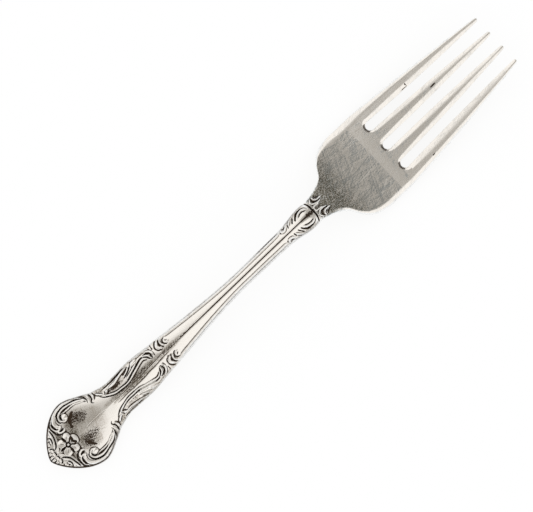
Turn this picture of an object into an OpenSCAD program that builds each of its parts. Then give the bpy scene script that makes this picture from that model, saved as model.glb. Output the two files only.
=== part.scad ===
// Baby fork: a struck silver blank with four tines and scroll, leaf and flower ornament.
// It lies face up. X runs along the fork to the tines, Y runs across it and Z is up.

/* [Lengths] */
// Handle end, from its tip to the end of the rim scrolls
terminal_length = 13.8; // [11:0.1:18]
// Shank under the leaf panels
leaf_length = 12.7; // [10:0.1:17]
// Slim stem with its beaded edges
stem_length = 30.5; // [20:0.5:45]
// Ornamented neck between stem and palm
neck_length = 7; // [5.5:0.1:9]
// Palm, from the neck to the roots of the slots
palm_length = 16.7; // [13.5:0.1:21]
// Tines, from the roots of the slots to the points
tine_length = 27.3; // [20:0.1:36]

/* [Widths] */
// Handle end at its widest
terminal_w = 13.1; // [10.5:0.1:16]
// Waist behind the handle end
waist_w = 6.8; // [5.5:0.1:8.5]
// Leaf panels at their widest
leaf_w = 7.1; // [5.9:0.1:9]
// Shank where the leaf panels stop
leaf_end_w = 6.2; // [5.2:0.1:7.6]
// Stem at its slimmest
stem_w = 3.1; // [2.5:0.1:3.9]
// Stem where it meets the neck
stem_end_w = 3.3; // [2.7:0.1:4]
// Neck at its swelling
neck_w = 4.6; // [3.8:0.1:5.6]
// Neck at the collar, where the palm begins
collar_w = 4.3; // [3.5:0.1:5.2]
// Palm and the roots of the tines, overall
palm_w = 16.5; // [13.5:0.1:20]
// One tine at its root
tine_w = 2.8; // [2.2:0.05:3.4]
// Across the points of the outer tines
tip_span = 10.8; // [9:0.1:13]
// One tine just behind its point
tine_tip_w = 0.75; // [0.6:0.05:1]

/* [Heights] */
// Rise of the stem's underside over the table
arch_rise = 5.6; // [4.5:0.1:7]
// Rise of the tine points' underside over the table
tip_rise = 5.2; // [4.2:0.1:6.5]
// Depth of the palm's hollow across its width
dish = 0.35; // [0.2:0.05:0.5]
// Depth to which the two resting places are worn flat
rest_depth = 0.08; // [0.06:0.01:0.12]

/* [Thicknesses] */
// Handle end
terminal_t = 1.9; // [1.5:0.05:2.3]
// Stem
stem_t = 2.6; // [2.1:0.05:3.2]
// Neck at its swelling
neck_t = 3; // [2.4:0.05:3.6]
// Palm
palm_t = 1.6; // [1.3:0.05:2]
// Tine behind its point
tip_t = 0.9; // [0.7:0.05:1.1]

/* [Ornament] */
// Width of one scroll strand
strand_w = 0.46; // [0.36:0.02:0.56]
// Height of a scroll strand over the face
strand_h = 0.3; // [0.2:0.02:0.4]
// Width of the bead along the stem's edges
bead_w = 0.44; // [0.34:0.02:0.54]
// Width of the ridge along the middle of the stem
spine_w = 0.62; // [0.5:0.02:0.76]
// Height of the ridge
spine_h = 0.24; // [0.18:0.02:0.34]
// Radius of the flower over its petals
flower_r = 1.9; // [1.6:0.05:2]
// Radius of the pearl in the flower
pearl_r = 0.42; // [0.34:0.02:0.5]
// Gap under each ornament, where it is seated on the face
seat_gap = 0.03; // [0.02:0.01:0.06]

/* [Hidden] */
silver = "#c9c5bc";
bright = "#e6e2da";
tarnished = "#a29b8d";

// Stations along the fork, measured from the handle's tip
leaf_start = terminal_length;
stem_start = leaf_start + leaf_length;
neck_start = stem_start + stem_length;
collar = neck_start + neck_length;
slot_root = collar + palm_length;
fork_length = slot_root + tine_length;
terminal_peak = 0.56 * terminal_length;
waist = leaf_start + 0.24 * leaf_length;
leaf_peak = leaf_start + 0.61 * leaf_length;
slim = stem_start + 0.67 * stem_length;
neck_peak = neck_start + 0.76 * neck_length;
handle_rest = 0.33 * terminal_length;
belly = collar + 0.75 * palm_length;
palm_full = collar + 0.66 * palm_length;

// The handle end's outline is a superellipse, flattened at the tip
nose_w = 1.4;
nose_power = 1.7;

// Shares of the way along the shoulder and out to the full palm
shoulder_flare = [[0, 0], [0.22, 0.1], [0.42, 0.3], [0.545, 0.63], [0.67, 0.845], [0.82, 0.955], [1, 1]];

// Spread of the tines
tine_count = 4;
root_pitch = (palm_w - tine_w) / (tine_count - 1);
tip_pitch = (tip_span - tine_tip_w) / (tine_count - 1);
slot_w = root_pitch - tine_w;
taper_power = 1.7;
point_round = 0.6;
point_share = 0.35;

// Edge rounding: the power of the superellipse across each section
handle_edge = 3;
palm_edge = 5;
tine_edge = 2.8;

// Mesh steps
handle_across = 12;
palm_across = 16;
tine_across = 8;
terminal_steps = 20;
leaf_steps = 11;
stem_steps = 16;
neck_steps = 9;
palm_steps = 24;
tine_steps = 18;
slot_bow_steps = 5;
boss_sides = 12;

// Sections of the relief, as shares of a half width and a height
strand_profile = [[-1, 0], [-0.62, 0.78], [0, 1], [0.62, 0.78], [1, 0], [0, 0]];
strand_end = 0.3;
boss_shoulder = [0.66, 0.85];
fine_share = 0.8;
pearl_share = 1.2;
eye_share = 0.62;

// Layout of the repeated ornament
shell_lobes = 5;
shell_hub = 0.085;
shell_reach = 0.052;
shell_lobe = [0.52, 0.2];
shell_fan = 34;
petal_count = 5;
petal_share = 0.54;
tuft_turn = 60;
spine_start = 0.8;
collar_setback = 0.06;
collar_reach = 0.8;

// The strand width that the layout is drawn for; wider strands sit higher and further from their neighbours
strand_drawn = 0.46;
strand_growth = strand_w - strand_drawn;
seat_lift = seat_gap * pow(strand_w / strand_drawn, 2);
collar_room = 0.21 + strand_growth;

// A smooth curve through knots [place, value] that never swings past them
function knot_slope(k, i) =
    i == 0 ? rise(k, 0) :
    i == len(k) - 1 ? rise(k, i - 1) :
    rise(k, i - 1) * rise(k, i) <= 0 ? 0 :
    2 * rise(k, i - 1) * rise(k, i) / (rise(k, i - 1) + rise(k, i));
function rise(k, i) = (k[i + 1][1] - k[i][1]) / (k[i + 1][0] - k[i][0]);
function knot_span(k, s, i = 0) = i >= len(k) - 2 || s < k[i + 1][0] ? i : knot_span(k, s, i + 1);
function through(k, s) =
    let (i = knot_span(k, s))
    let (gap = k[i + 1][0] - k[i][0])
    let (f = (s - k[i][0]) / gap)
    let (blend = f * f * (3 - 2 * f))
    k[i][1] * (1 - blend) + k[i + 1][1] * blend
    + gap * f * (1 - f) * ((1 - f) * knot_slope(k, i) - f * knot_slope(k, i + 1));

// Half width of the blank at station s
handle_widths = [
    [terminal_peak, terminal_w / 2],
    [waist, waist_w / 2],
    [leaf_peak, leaf_w / 2],
    [stem_start, leaf_end_w / 2],
    [slim, stem_w / 2],
    [neck_start, stem_end_w / 2],
    [neck_peak, neck_w / 2],
    [collar, collar_w / 2]
];
function nose_half(s) =
    let (f = 1 - max(s, 0) / terminal_peak)
    max(nose_w / 2, terminal_w / 2 * pow(1 - pow(f, nose_power), 1 / nose_power));
function shoulder_half(s) =
    let (f = min(1, (s - collar) / (palm_full - collar)))
    collar_w / 2 + (palm_w - collar_w) / 2 * through(shoulder_flare, f);
function half_width(s) =
    s < terminal_peak ? nose_half(s) :
    s < collar ? through(handle_widths, s) : shoulder_half(s);

// Height of the underside, thickness, crown and hollow at station s
back_knots = [
    [0, 2 * rest_depth],
    [handle_rest, -rest_depth],
    [terminal_length, 0.05 * arch_rise],
    [stem_start, 0.29 * arch_rise],
    [slim, 0.84 * arch_rise],
    [neck_start + 0.3 * neck_length, arch_rise],
    [collar, 0.86 * arch_rise],
    [collar + 0.27 * palm_length, 0.42 * arch_rise],
    [collar + 0.51 * palm_length, 0.1 * arch_rise],
    [belly, -rest_depth],
    [slot_root, 0.05 * tip_rise],
    [slot_root + 0.5 * tine_length, 0.43 * tip_rise],
    [fork_length, tip_rise]
];
thick_knots = [
    [0, 0.8 * terminal_t],
    [handle_rest, terminal_t],
    [stem_start, (terminal_t + stem_t) / 2],
    [slim, stem_t],
    [neck_peak, neck_t],
    [palm_full, palm_t],
    [slot_root, palm_t],
    [fork_length, tip_t]
];
crown_knots = [
    [0, 0],
    [terminal_peak, 0.1],
    [stem_start, 0.3],
    [neck_start, 0.35],
    [collar, 0.1],
    [belly, 0]
];
hollow_knots = [[collar, 0], [palm_full, dish], [slot_root, dish], [fork_length, dish / 3]];
edge_knots = [[neck_start, handle_edge], [palm_full, palm_edge]];
function hollow(s, y) = s < collar ? 0 : through(hollow_knots, s) * pow(2 * y / palm_w, 2);
function edge_power(s) = s < neck_start ? handle_edge : s > palm_full ? palm_edge : through(edge_knots, s);
function swell(u, power) = pow(max(0, 1 - pow(abs(u), power)), 1 / power);
function mid_z(s, y) = through(back_knots, s) + through(thick_knots, s) / 2 + hollow(s, y);
function crown(s, u) = s > belly ? 0 : through(crown_knots, s) * (1 - abs(u));

// Upper and lower face of the blank behind the slots
function top_z(s, y) =
    let (u = min(1, abs(y) / half_width(s)))
    let (half_t = through(thick_knots, s) / 2)
    mid_z(s, y) + half_t * swell(u, edge_power(s)) + crown(s, u) * swell(u, handle_edge);
function bottom_z(s, y) =
    let (u = min(1, abs(y) / half_width(s)))
    mid_z(s, y) - through(thick_knots, s) / 2 * swell(u, edge_power(s));
function seat_z(s, y) = top_z(s, y) + seat_lift;
function place(s, y, z) = [s - fork_length / 2, y, z];
function spread(j, n) = sin(90 * (2 * j / n - 1));

// A section of the blank: its upper points from right to left, then its lower points back
function blank_ring(s, n) = concat(
    [for (j = [0:n]) let (y = half_width(s) * spread(j, n)) place(s, y, top_z(s, y))],
    [for (j = [n - 1:-1:1]) let (y = half_width(s) * spread(j, n)) place(s, y, bottom_z(s, y))]
);

// Tines: half the slot, and the two edges of tine i at distance d from the slot roots
function pitch(d) = root_pitch + (tip_pitch - root_pitch) * d / tine_length;
function point_shrink(d) =
    let (near = max(0, d - tine_length + point_round) / point_round)
    point_share + (1 - point_share) * sqrt(1 - near * near);
function tine_half(d) =
    (tine_w - (tine_w - tine_tip_w) * pow(d / tine_length, taper_power)) / 2 * point_shrink(d);
function slot_half(d) =
    let (r = slot_w / 2)
    d < r ? sqrt(max(0, r * r - (r - d) * (r - d))) : pitch(d) / 2 - tine_half(d);
function outer_edge(d) = (tine_count - 1) / 2 * pitch(d) + tine_half(d);
function tine_right(i, d) = i == 0 ? -outer_edge(d) : (i - tine_count / 2) * pitch(d) + slot_half(d);
function tine_left(i, d) =
    i == tine_count - 1 ? outer_edge(d) : (i + 1 - tine_count / 2) * pitch(d) - slot_half(d);
function tine_thick(d) = through(thick_knots, slot_root + d) * point_shrink(d);
function tine_point(i, d, v, side) =
    let (middle = (tine_left(i, d) + tine_right(i, d)) / 2)
    let (half = (tine_left(i, d) - tine_right(i, d)) / 2)
    let (y = middle + half * v)
    place(slot_root + d, y, mid_z(slot_root + d, y) + side * tine_thick(d) / 2 * swell(v, tine_edge));
function tine_ring(i, d, n) = concat(
    [for (j = [0:n]) tine_point(i, d, spread(j, n), 1)],
    [for (j = [n - 1:-1:1]) tine_point(i, d, spread(j, n), -1)]
);

// Triangles that close a section with n spans across
function section_cap(n) = [
    for (j = [0:n - 1])
        let (top = j, next = j + 1)
        let (low = j == 0 ? 0 : 2 * n - j, low_next = j == n - 1 ? n : 2 * n - j - 1)
        each [
            if (j < n - 1) [top, next, low_next],
            if (j == n - 1) [top, next, low],
            if (j > 0 && j < n - 1) [top, low_next, low]
        ]
];

// A closed skin over rings of equal length, with the given triangles on its two ends
module skin(rings, cap) {
    m = len(rings[0]);
    last = len(rings) - 1;
    sides = [
        for (k = [0:last - 1], i = [0:m - 1])
            let (a = k * m + i, b = k * m + (i + 1) % m)
            each [[a, b, b + m], [a, b + m, a + m]]
    ];
    start = [for (t = cap) [t[2], t[1], t[0]]];
    finish = [for (t = cap) [for (i = t) i + last * m]];
    polyhedron(points = [for (r = rings) each r], faces = concat(sides, start, finish));
}

module blank(from, to, steps, across) {
    skin([for (k = [0:steps]) blank_ring(from + (to - from) * k / steps, across)], section_cap(across));
}

// What lies above the table plane
module above_table() {
    reach = 2 * fork_length;
    translate([-reach / 2, -reach / 2, 0]) cube(reach);
}

// Relief strands: a smooth path through points [s, y], tapered towards both ends
function bend(p, t) =
    let (i = min(floor(t), len(p) - 2))
    let (f = t - i)
    let (a = p[max(i - 1, 0)], b = p[i], c = p[i + 1], d = p[min(i + 2, len(p) - 1)])
    b + f * ((c - a) / 2 + f * (a - 2.5 * b + 2 * c - d / 2 + f * (1.5 * (b - c) + (d - a) / 2)));
function path_of(p, n) = [for (k = [0:n]) bend(p, k / n * (len(p) - 1))];
function strand_ring(at, along, half, height) =
    let (across = [-along[1], along[0]] / norm(along) * half)
    [
        for (rim = strand_profile)
            let (spot = at + across * rim[0])
            place(spot[0], spot[1], seat_z(spot[0], spot[1]) + height * rim[1])
    ];
strand_cap = [[5, 0, 1], [5, 1, 2], [5, 2, 3], [5, 3, 4]];
function swelling(f) = strand_end + (1 - strand_end) * f;
function taper(f, grow, fade) = min(1, swelling(f / grow), swelling((1 - f) / fade));
module strand(points, width, height, steps = 14, grow = 0.12, fade = 0.2) {
    p = path_of(points, steps);
    skin(
        [
            for (k = [0:steps])
                let (size = taper(k / steps, grow, fade))
                strand_ring(p[k], p[min(k + 1, steps)] - p[max(k - 1, 0)], width / 2 * size, height * size)
        ],
        strand_cap
    );
}

// A low boss with an oval foot, its long axis turned by angle
module boss(at, long, wide, angle, height) {
    n = boss_sides;
    function foot(share, i) =
        let (a = -360 * i / n)
        let (x = long * cos(a) * share, y = wide * sin(a) * share)
        at + [x * cos(angle) - y * sin(angle), x * sin(angle) + y * cos(angle)];
    function spot(p, lift) = place(p[0], p[1], seat_z(p[0], p[1]) + lift);
    points = concat(
        [for (i = [0:n - 1]) spot(foot(1, i), 0)],
        [for (i = [0:n - 1]) spot(foot(boss_shoulder[0], i), height * boss_shoulder[1])],
        [spot(at, 0), spot(at, height)]
    );
    faces = [
        for (i = [0:n - 1])
            let (j = (i + 1) % n)
            each [[i, j, n + j], [i, n + j, n + i], [n + i, n + j, 2 * n + 1], [j, i, 2 * n]]
    ];
    polyhedron(points = points, faces = faces);
}

// Places of the ornament, as shares of a zone's length and of the half width there
function spot_in(start, length, p) = let (s = start + length * p[0]) [s, p[1] * half_width(s)];
function on_terminal(points) = [for (p = points) spot_in(0, terminal_length, p)];
function on_leaf(points) = [for (p = points) spot_in(leaf_start, leaf_length, p)];
function on_stem(points) = [for (p = points) spot_in(stem_start, stem_length, p)];
function on_neck(points) = [for (p = points) spot_in(neck_start, neck_length, p)];
function on_palm(points) = [for (p = points) spot_in(collar, palm_length, p)];

rim_outer = [[0.315, 0.6], [0.297, 0.72], [0.315, 0.83], [0.37, 0.87], [0.45, 0.9], [0.55, 0.91], [0.68, 0.9],
    [0.79, 0.89], [0.88, 0.87]];
rim_middle = [[0.365, 0.56], [0.353, 0.65], [0.385, 0.735], [0.45, 0.775], [0.55, 0.79], [0.68, 0.77],
    [0.79, 0.745], [0.88, 0.71]];
rim_inner = [[0.54, 0.485], [0.475, 0.5], [0.45, 0.585], [0.485, 0.655], [0.565, 0.675], [0.68, 0.64],
    [0.79, 0.6], [0.88, 0.55]];
eye_at = [0.53, 0.578];
binding_back = [[0.925, 0.92], [0.93, 0.68], [0.95, 0.5], [0.985, 0.43]];
binding_front = [[0.985, 0.92], [0.99, 0.76], [1.0, 0.62], [1.025, 0.55]];
band_inner = [[0.155, 0.06], [0.195, 0.28], [0.235, 0.5], [0.258, 0.7], [0.268, 0.86]];
band_outer = [[0.105, 0.16], [0.15, 0.36], [0.19, 0.54], [0.215, 0.7], [0.228, 0.85]];
tip_curl = [[0.085, 0.5], [0.12, 0.52], [0.14, 0.64], [0.13, 0.78]];
flower_at = [0.335, 0];
tuft_at = [0.405, 0.4];

leaf_ridge = [[0.075, 0.52], [0.15, 0.43], [0.26, 0.36], [0.4, 0.34], [0.52, 0.44], [0.63, 0.6], [0.72, 0.72],
    [0.82, 0.76]];
leaf_rim = [[0.07, 0.88], [0.25, 0.88], [0.45, 0.89], [0.65, 0.89], [0.85, 0.9], [0.97, 0.9]];
leaf_tip = [[0.74, 0.58], [0.83, 0.6], [0.91, 0.5], [0.96, 0.36]];
leaf_vein_first = [[0.3, 0.6], [0.4, 0.62], [0.5, 0.72]];
leaf_vein_second = [[0.44, 0.54], [0.53, 0.6], [0.62, 0.74]];

mid_curl = [[0.085, 0.36], [0.045, 0.42], [0.035, 0.58], [0.055, 0.74], [0.085, 0.82]];
bead_run = [[0.15, 0.42], [0.122, 0.46], [0.114, 0.6], [0.135, 0.73], [0.19, 0.78], [0.4, 0.74], [0.65, 0.66],
    [0.85, 0.66], [0.97, 0.66]];

neck_leaf_end = 1 - collar_setback - collar_room / neck_length;
neck_outer = [[0.18, 0.64], [0.3, 0.78], [0.45, 0.84], [0.66, 0.84], [0.82, 0.8], [neck_leaf_end, 0.62]];
neck_inner = [[0.36, 0.5], [0.48, 0.6], [0.62, 0.58], [0.74, 0.5]];
shoulder_curl = [[0.055, 0.84], [0.03, 0.64], [0.055, 0.46], [0.11, 0.44], [0.135, 0.56]];
tongue_bow = [[0.12, 0.26], [0.06, 0.2], [0.035, 0], [0.06, -0.2], [0.12, -0.26]];

module terminal() {
    stations = [for (k = [0:terminal_steps]) terminal_length * (1 - cos(90 * k / terminal_steps))];
    color(silver) intersection() {
        skin([for (s = stations) blank_ring(s, handle_across)], section_cap(handle_across));
        above_table();
    }
}

module leaf_shank() {
    color(silver) blank(leaf_start, stem_start, leaf_steps, handle_across);
}

module stem() {
    color(silver) blank(stem_start, neck_start, stem_steps, handle_across);
}

module neck() {
    color(silver) blank(neck_start, collar, neck_steps, handle_across);
}

module palm() {
    color(silver) intersection() {
        blank(collar, slot_root, palm_steps, palm_across);
        above_table();
    }
}

module tine(i) {
    bow = slot_w / 2;
    near = [for (k = [0:slot_bow_steps]) bow * (1 - cos(90 * k / slot_bow_steps))];
    far = [for (k = [1:tine_steps]) bow + (tine_length - bow) * sin(90 * k / tine_steps)];
    rings = [for (d = concat(near, far)) tine_ring(i, d, tine_across)];
    color(silver) skin(rings, section_cap(tine_across));
}

module tip_shell() {
    hub = [shell_hub * terminal_length, 0];
    reach = shell_reach * terminal_length;
    color(bright) for (i = [0:shell_lobes - 1]) {
        turn = 180 + shell_fan * (i - (shell_lobes - 1) / 2);
        lobe = shell_lobe * reach;
        boss(hub + reach * [cos(turn), sin(turn)], lobe[0], lobe[1], turn, strand_h);
    }
}

module tip_leaf() {
    function near_tip(points) = [for (p = on_terminal(points)) p - [strand_growth, 0]];
    color(bright) {
        strand(near_tip(band_inner), strand_w, strand_h);
        strand(near_tip(band_outer), strand_w, strand_h);
        strand(near_tip(tip_curl), strand_w, strand_h, 8);
    }
}

module flower_petals() {
    heart = on_terminal([flower_at])[0];
    out = (flower_r + pearl_r) / 2 + seat_gap;
    color(bright) for (i = [0:petal_count - 1]) {
        turn = 360 * i / petal_count;
        boss(heart + out * [cos(turn), sin(turn)], flower_r - out, petal_share * out, turn, strand_h);
    }
}

module flower_centre() {
    color(bright) boss(on_terminal([flower_at])[0], pearl_r, pearl_r, 0, pearl_share * strand_h);
}

module flower_leaf() {
    color(bright) boss(on_terminal([tuft_at])[0], strand_w, eye_share * strand_w, tuft_turn, strand_h);
}

module rim_scroll() {
    color(bright) {
        strand(on_terminal(rim_outer), strand_w, strand_h, 24);
        strand(on_terminal(rim_middle), strand_w, strand_h, 22);
        strand(on_terminal(rim_inner), strand_w, strand_h, 22);
    }
}

module scroll_eye() {
    eye_r = eye_share * strand_w;
    color(bright) boss(on_terminal([eye_at])[0], eye_r, eye_r, 0, pearl_share * strand_h);
}

module scroll_binding() {
    color(bright) {
        strand(on_terminal(binding_back), strand_w, strand_h, 10);
        strand(on_terminal(binding_front), strand_w, strand_h, 10);
    }
}

module leaf_panel() {
    color(bright) {
        strand(on_leaf(leaf_ridge), strand_w, strand_h, 20);
        strand(on_leaf(leaf_rim), strand_w, strand_h, 14);
        strand(on_leaf(leaf_tip), strand_w, strand_h, 10);
        strand(on_leaf(leaf_vein_first), fine_share * strand_w, fine_share * strand_h, 6);
        strand(on_leaf(leaf_vein_second), fine_share * strand_w, fine_share * strand_h, 6);
    }
}

module mid_scroll() {
    color(bright) strand(on_stem(mid_curl), strand_w, strand_h, 12);
}

module stem_bead() {
    color(bright) strand(on_stem(bead_run), bead_w, strand_h, 40, 0.04, 0.03);
}

module stem_spine() {
    from = spine_start * terminal_length;
    color(tarnished) strand([[from, 0], [neck_peak, 0]], spine_w, spine_h, 40, 0.2, 0.06);
}

module neck_leaf() {
    color(bright) {
        strand(on_neck(neck_outer), strand_w, strand_h, 14);
        strand(on_neck(neck_inner), fine_share * strand_w, strand_h, 8);
    }
}

module collar_band() {
    s = collar - collar_setback * neck_length;
    reach = collar_reach * half_width(s);
    color(bright) strand([[s, -reach], [s, reach]], fine_share * strand_w, strand_h, 12);
}

module shoulder_scroll() {
    color(tarnished) strand(on_palm(shoulder_curl), fine_share * strand_w, strand_h, 14);
}

module shoulder_tongue() {
    color(tarnished) strand(on_palm(tongue_bow), fine_share * strand_w, strand_h, 14);
}

module right_of() {
    mirror([0, 1, 0]) children();
}

terminal();
leaf_shank();
stem();
neck();
palm();
tine(0);  // tine_1
tine(1);  // tine_2
tine(2);  // tine_3
tine(3);  // tine_4
tip_shell();
tip_leaf();  // tip_leaf_left
right_of() tip_leaf();  // tip_leaf_right
flower_petals();
flower_centre();
flower_leaf();  // flower_leaf_left
right_of() flower_leaf();  // flower_leaf_right
rim_scroll();  // rim_scroll_left
right_of() rim_scroll();  // rim_scroll_right
scroll_eye();  // scroll_eye_left
right_of() scroll_eye();  // scroll_eye_right
scroll_binding();  // scroll_binding_left
right_of() scroll_binding();  // scroll_binding_right
leaf_panel();  // leaf_panel_left
right_of() leaf_panel();  // leaf_panel_right
mid_scroll();  // mid_scroll_left
right_of() mid_scroll();  // mid_scroll_right
stem_bead();  // stem_bead_left
right_of() stem_bead();  // stem_bead_right
stem_spine();
neck_leaf();  // neck_leaf_left
right_of() neck_leaf();  // neck_leaf_right
collar_band();
shoulder_scroll();  // shoulder_scroll_left
right_of() shoulder_scroll();  // shoulder_scroll_right
shoulder_tongue();
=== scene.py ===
"""Looks of a small plated table fork with struck scroll ornament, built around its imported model."""
import logging
import math
from dataclasses import dataclass
from enum import Enum
from functools import cached_property
from typing import Any, Sequence

import bpy
import numpy as np
from mathutils import Matrix, Vector


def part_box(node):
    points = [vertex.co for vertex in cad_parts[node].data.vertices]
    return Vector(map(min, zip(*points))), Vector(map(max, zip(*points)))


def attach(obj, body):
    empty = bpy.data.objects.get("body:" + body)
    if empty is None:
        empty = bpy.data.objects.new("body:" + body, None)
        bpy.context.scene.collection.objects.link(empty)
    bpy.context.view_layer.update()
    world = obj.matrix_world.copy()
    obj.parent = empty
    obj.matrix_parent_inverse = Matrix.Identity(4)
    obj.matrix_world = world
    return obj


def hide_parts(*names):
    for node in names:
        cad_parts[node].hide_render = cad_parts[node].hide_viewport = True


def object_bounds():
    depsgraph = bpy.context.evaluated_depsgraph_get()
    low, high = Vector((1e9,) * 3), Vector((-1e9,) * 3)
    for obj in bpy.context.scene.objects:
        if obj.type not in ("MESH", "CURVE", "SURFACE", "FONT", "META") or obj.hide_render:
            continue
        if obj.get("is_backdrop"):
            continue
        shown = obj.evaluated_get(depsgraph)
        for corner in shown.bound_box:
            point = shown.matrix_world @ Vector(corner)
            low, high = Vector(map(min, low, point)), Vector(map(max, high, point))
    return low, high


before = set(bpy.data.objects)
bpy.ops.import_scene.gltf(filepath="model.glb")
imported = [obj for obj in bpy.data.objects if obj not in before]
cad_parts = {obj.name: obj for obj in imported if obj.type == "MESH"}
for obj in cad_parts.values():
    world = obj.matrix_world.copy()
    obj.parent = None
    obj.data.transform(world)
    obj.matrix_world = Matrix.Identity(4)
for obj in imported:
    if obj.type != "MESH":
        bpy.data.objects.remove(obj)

MM = 0.001
LOG = logging.getLogger("fork")
CAD_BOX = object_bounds()
Points = tuple[tuple[float, float], ...]
Span = tuple[float, float]
Colour = tuple[float, float, float, float]
Wave = tuple[float, float, float]
Grid = np.ndarray
Socket = bpy.types.NodeSocket
Inputs = dict[str | int, Any] | None
LAYERS = ("crevice_and_rim_shade", "stain", "film")
CUP_FLOOR = 0.42
CUP_LIP = 0.2
NOISE_MEAN = 0.5


class Side(Enum):
    """The fork's two sides, seen from the handle's end."""

    LEFT = "left"
    RIGHT = "right"


class Slot(Enum):
    """The record's material slots."""

    HANDLE = "handle_silver"
    HEAD = "head_silver"


@dataclass(frozen=True)
class Knots:
    """A smooth curve through knots that never swings past them."""

    pairs: Points

    def __call__(self, s: Grid | float) -> Grid:
        """Reads the curve.

        Args:
            s: Places along the curve; beyond its ends it stays level.
        Returns:
            The values there.
        """
        x, v = np.array(self.pairs).T
        gap = np.diff(x)
        rise = np.diff(v) / gap
        slope = np.concatenate([rise[:1], np.zeros(len(x) - 2), rise[-1:]])
        same_way = rise[:-1] * rise[1:] > 0
        both = np.where(same_way, rise[:-1] + rise[1:], 1.0)
        slope[1:-1] = np.where(same_way, 2 * rise[:-1] * rise[1:] / both, 0.0)
        s = np.clip(s, x[0], x[-1])
        i = np.clip(np.searchsorted(x, s, side="right") - 1, 0, len(gap) - 1)
        f = (s - x[i]) / gap[i]
        blend = f * f * (3 - 2 * f)
        bow = gap[i] * f * (1 - f) * ((1 - f) * slope[i] - f * slope[i + 1])
        return v[i] * (1 - blend) + v[i + 1] * blend + bow


def smooth(low: float, high: float, x: Grid | float) -> Grid:
    """An eased step from 0 at low to 1 at high."""
    f = np.clip((x - low) / (high - low), 0, 1)
    return f * f * (3 - 2 * f)


def swell(u: Grid, power: Grid | float) -> Grid:
    """Height of a superellipse at the share u of its half width."""
    return np.maximum(0, 1 - np.abs(u) ** power) ** (1 / power)


def heading(turn: float) -> Span:
    """Cosine and sine of a turn in degrees."""
    return math.cos(math.radians(turn)), math.sin(math.radians(turn))


def columns(count: int, ease: float) -> Grid:
    """Shares of a half width from -1 to 1; ease draws them closer together near the edges."""
    even = np.linspace(-1, 1, count)
    return (1 - ease) * even + ease * np.sin(even * math.pi / 2)


def blur(grid: Grid, sigma: float, axis: int) -> Grid:
    """Softens a grid along one axis.

    Args:
        grid: Values on rows and columns.
        sigma: Spread in cells.
        axis: The axis to soften.
    Returns:
        The softened grid.
    """
    reach = max(1, int(3 * sigma + 0.5))
    weight = np.exp(-0.5 * (np.arange(-reach, reach + 1) / sigma) ** 2)
    weight /= weight.sum()
    pad = [(reach, reach) if k == axis else (0, 0) for k in range(2)]
    wide = np.pad(grid, pad, mode="edge")
    n = grid.shape[axis]
    return sum(w * wide.take(range(k, k + n), axis) for k, w in enumerate(weight))


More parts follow.
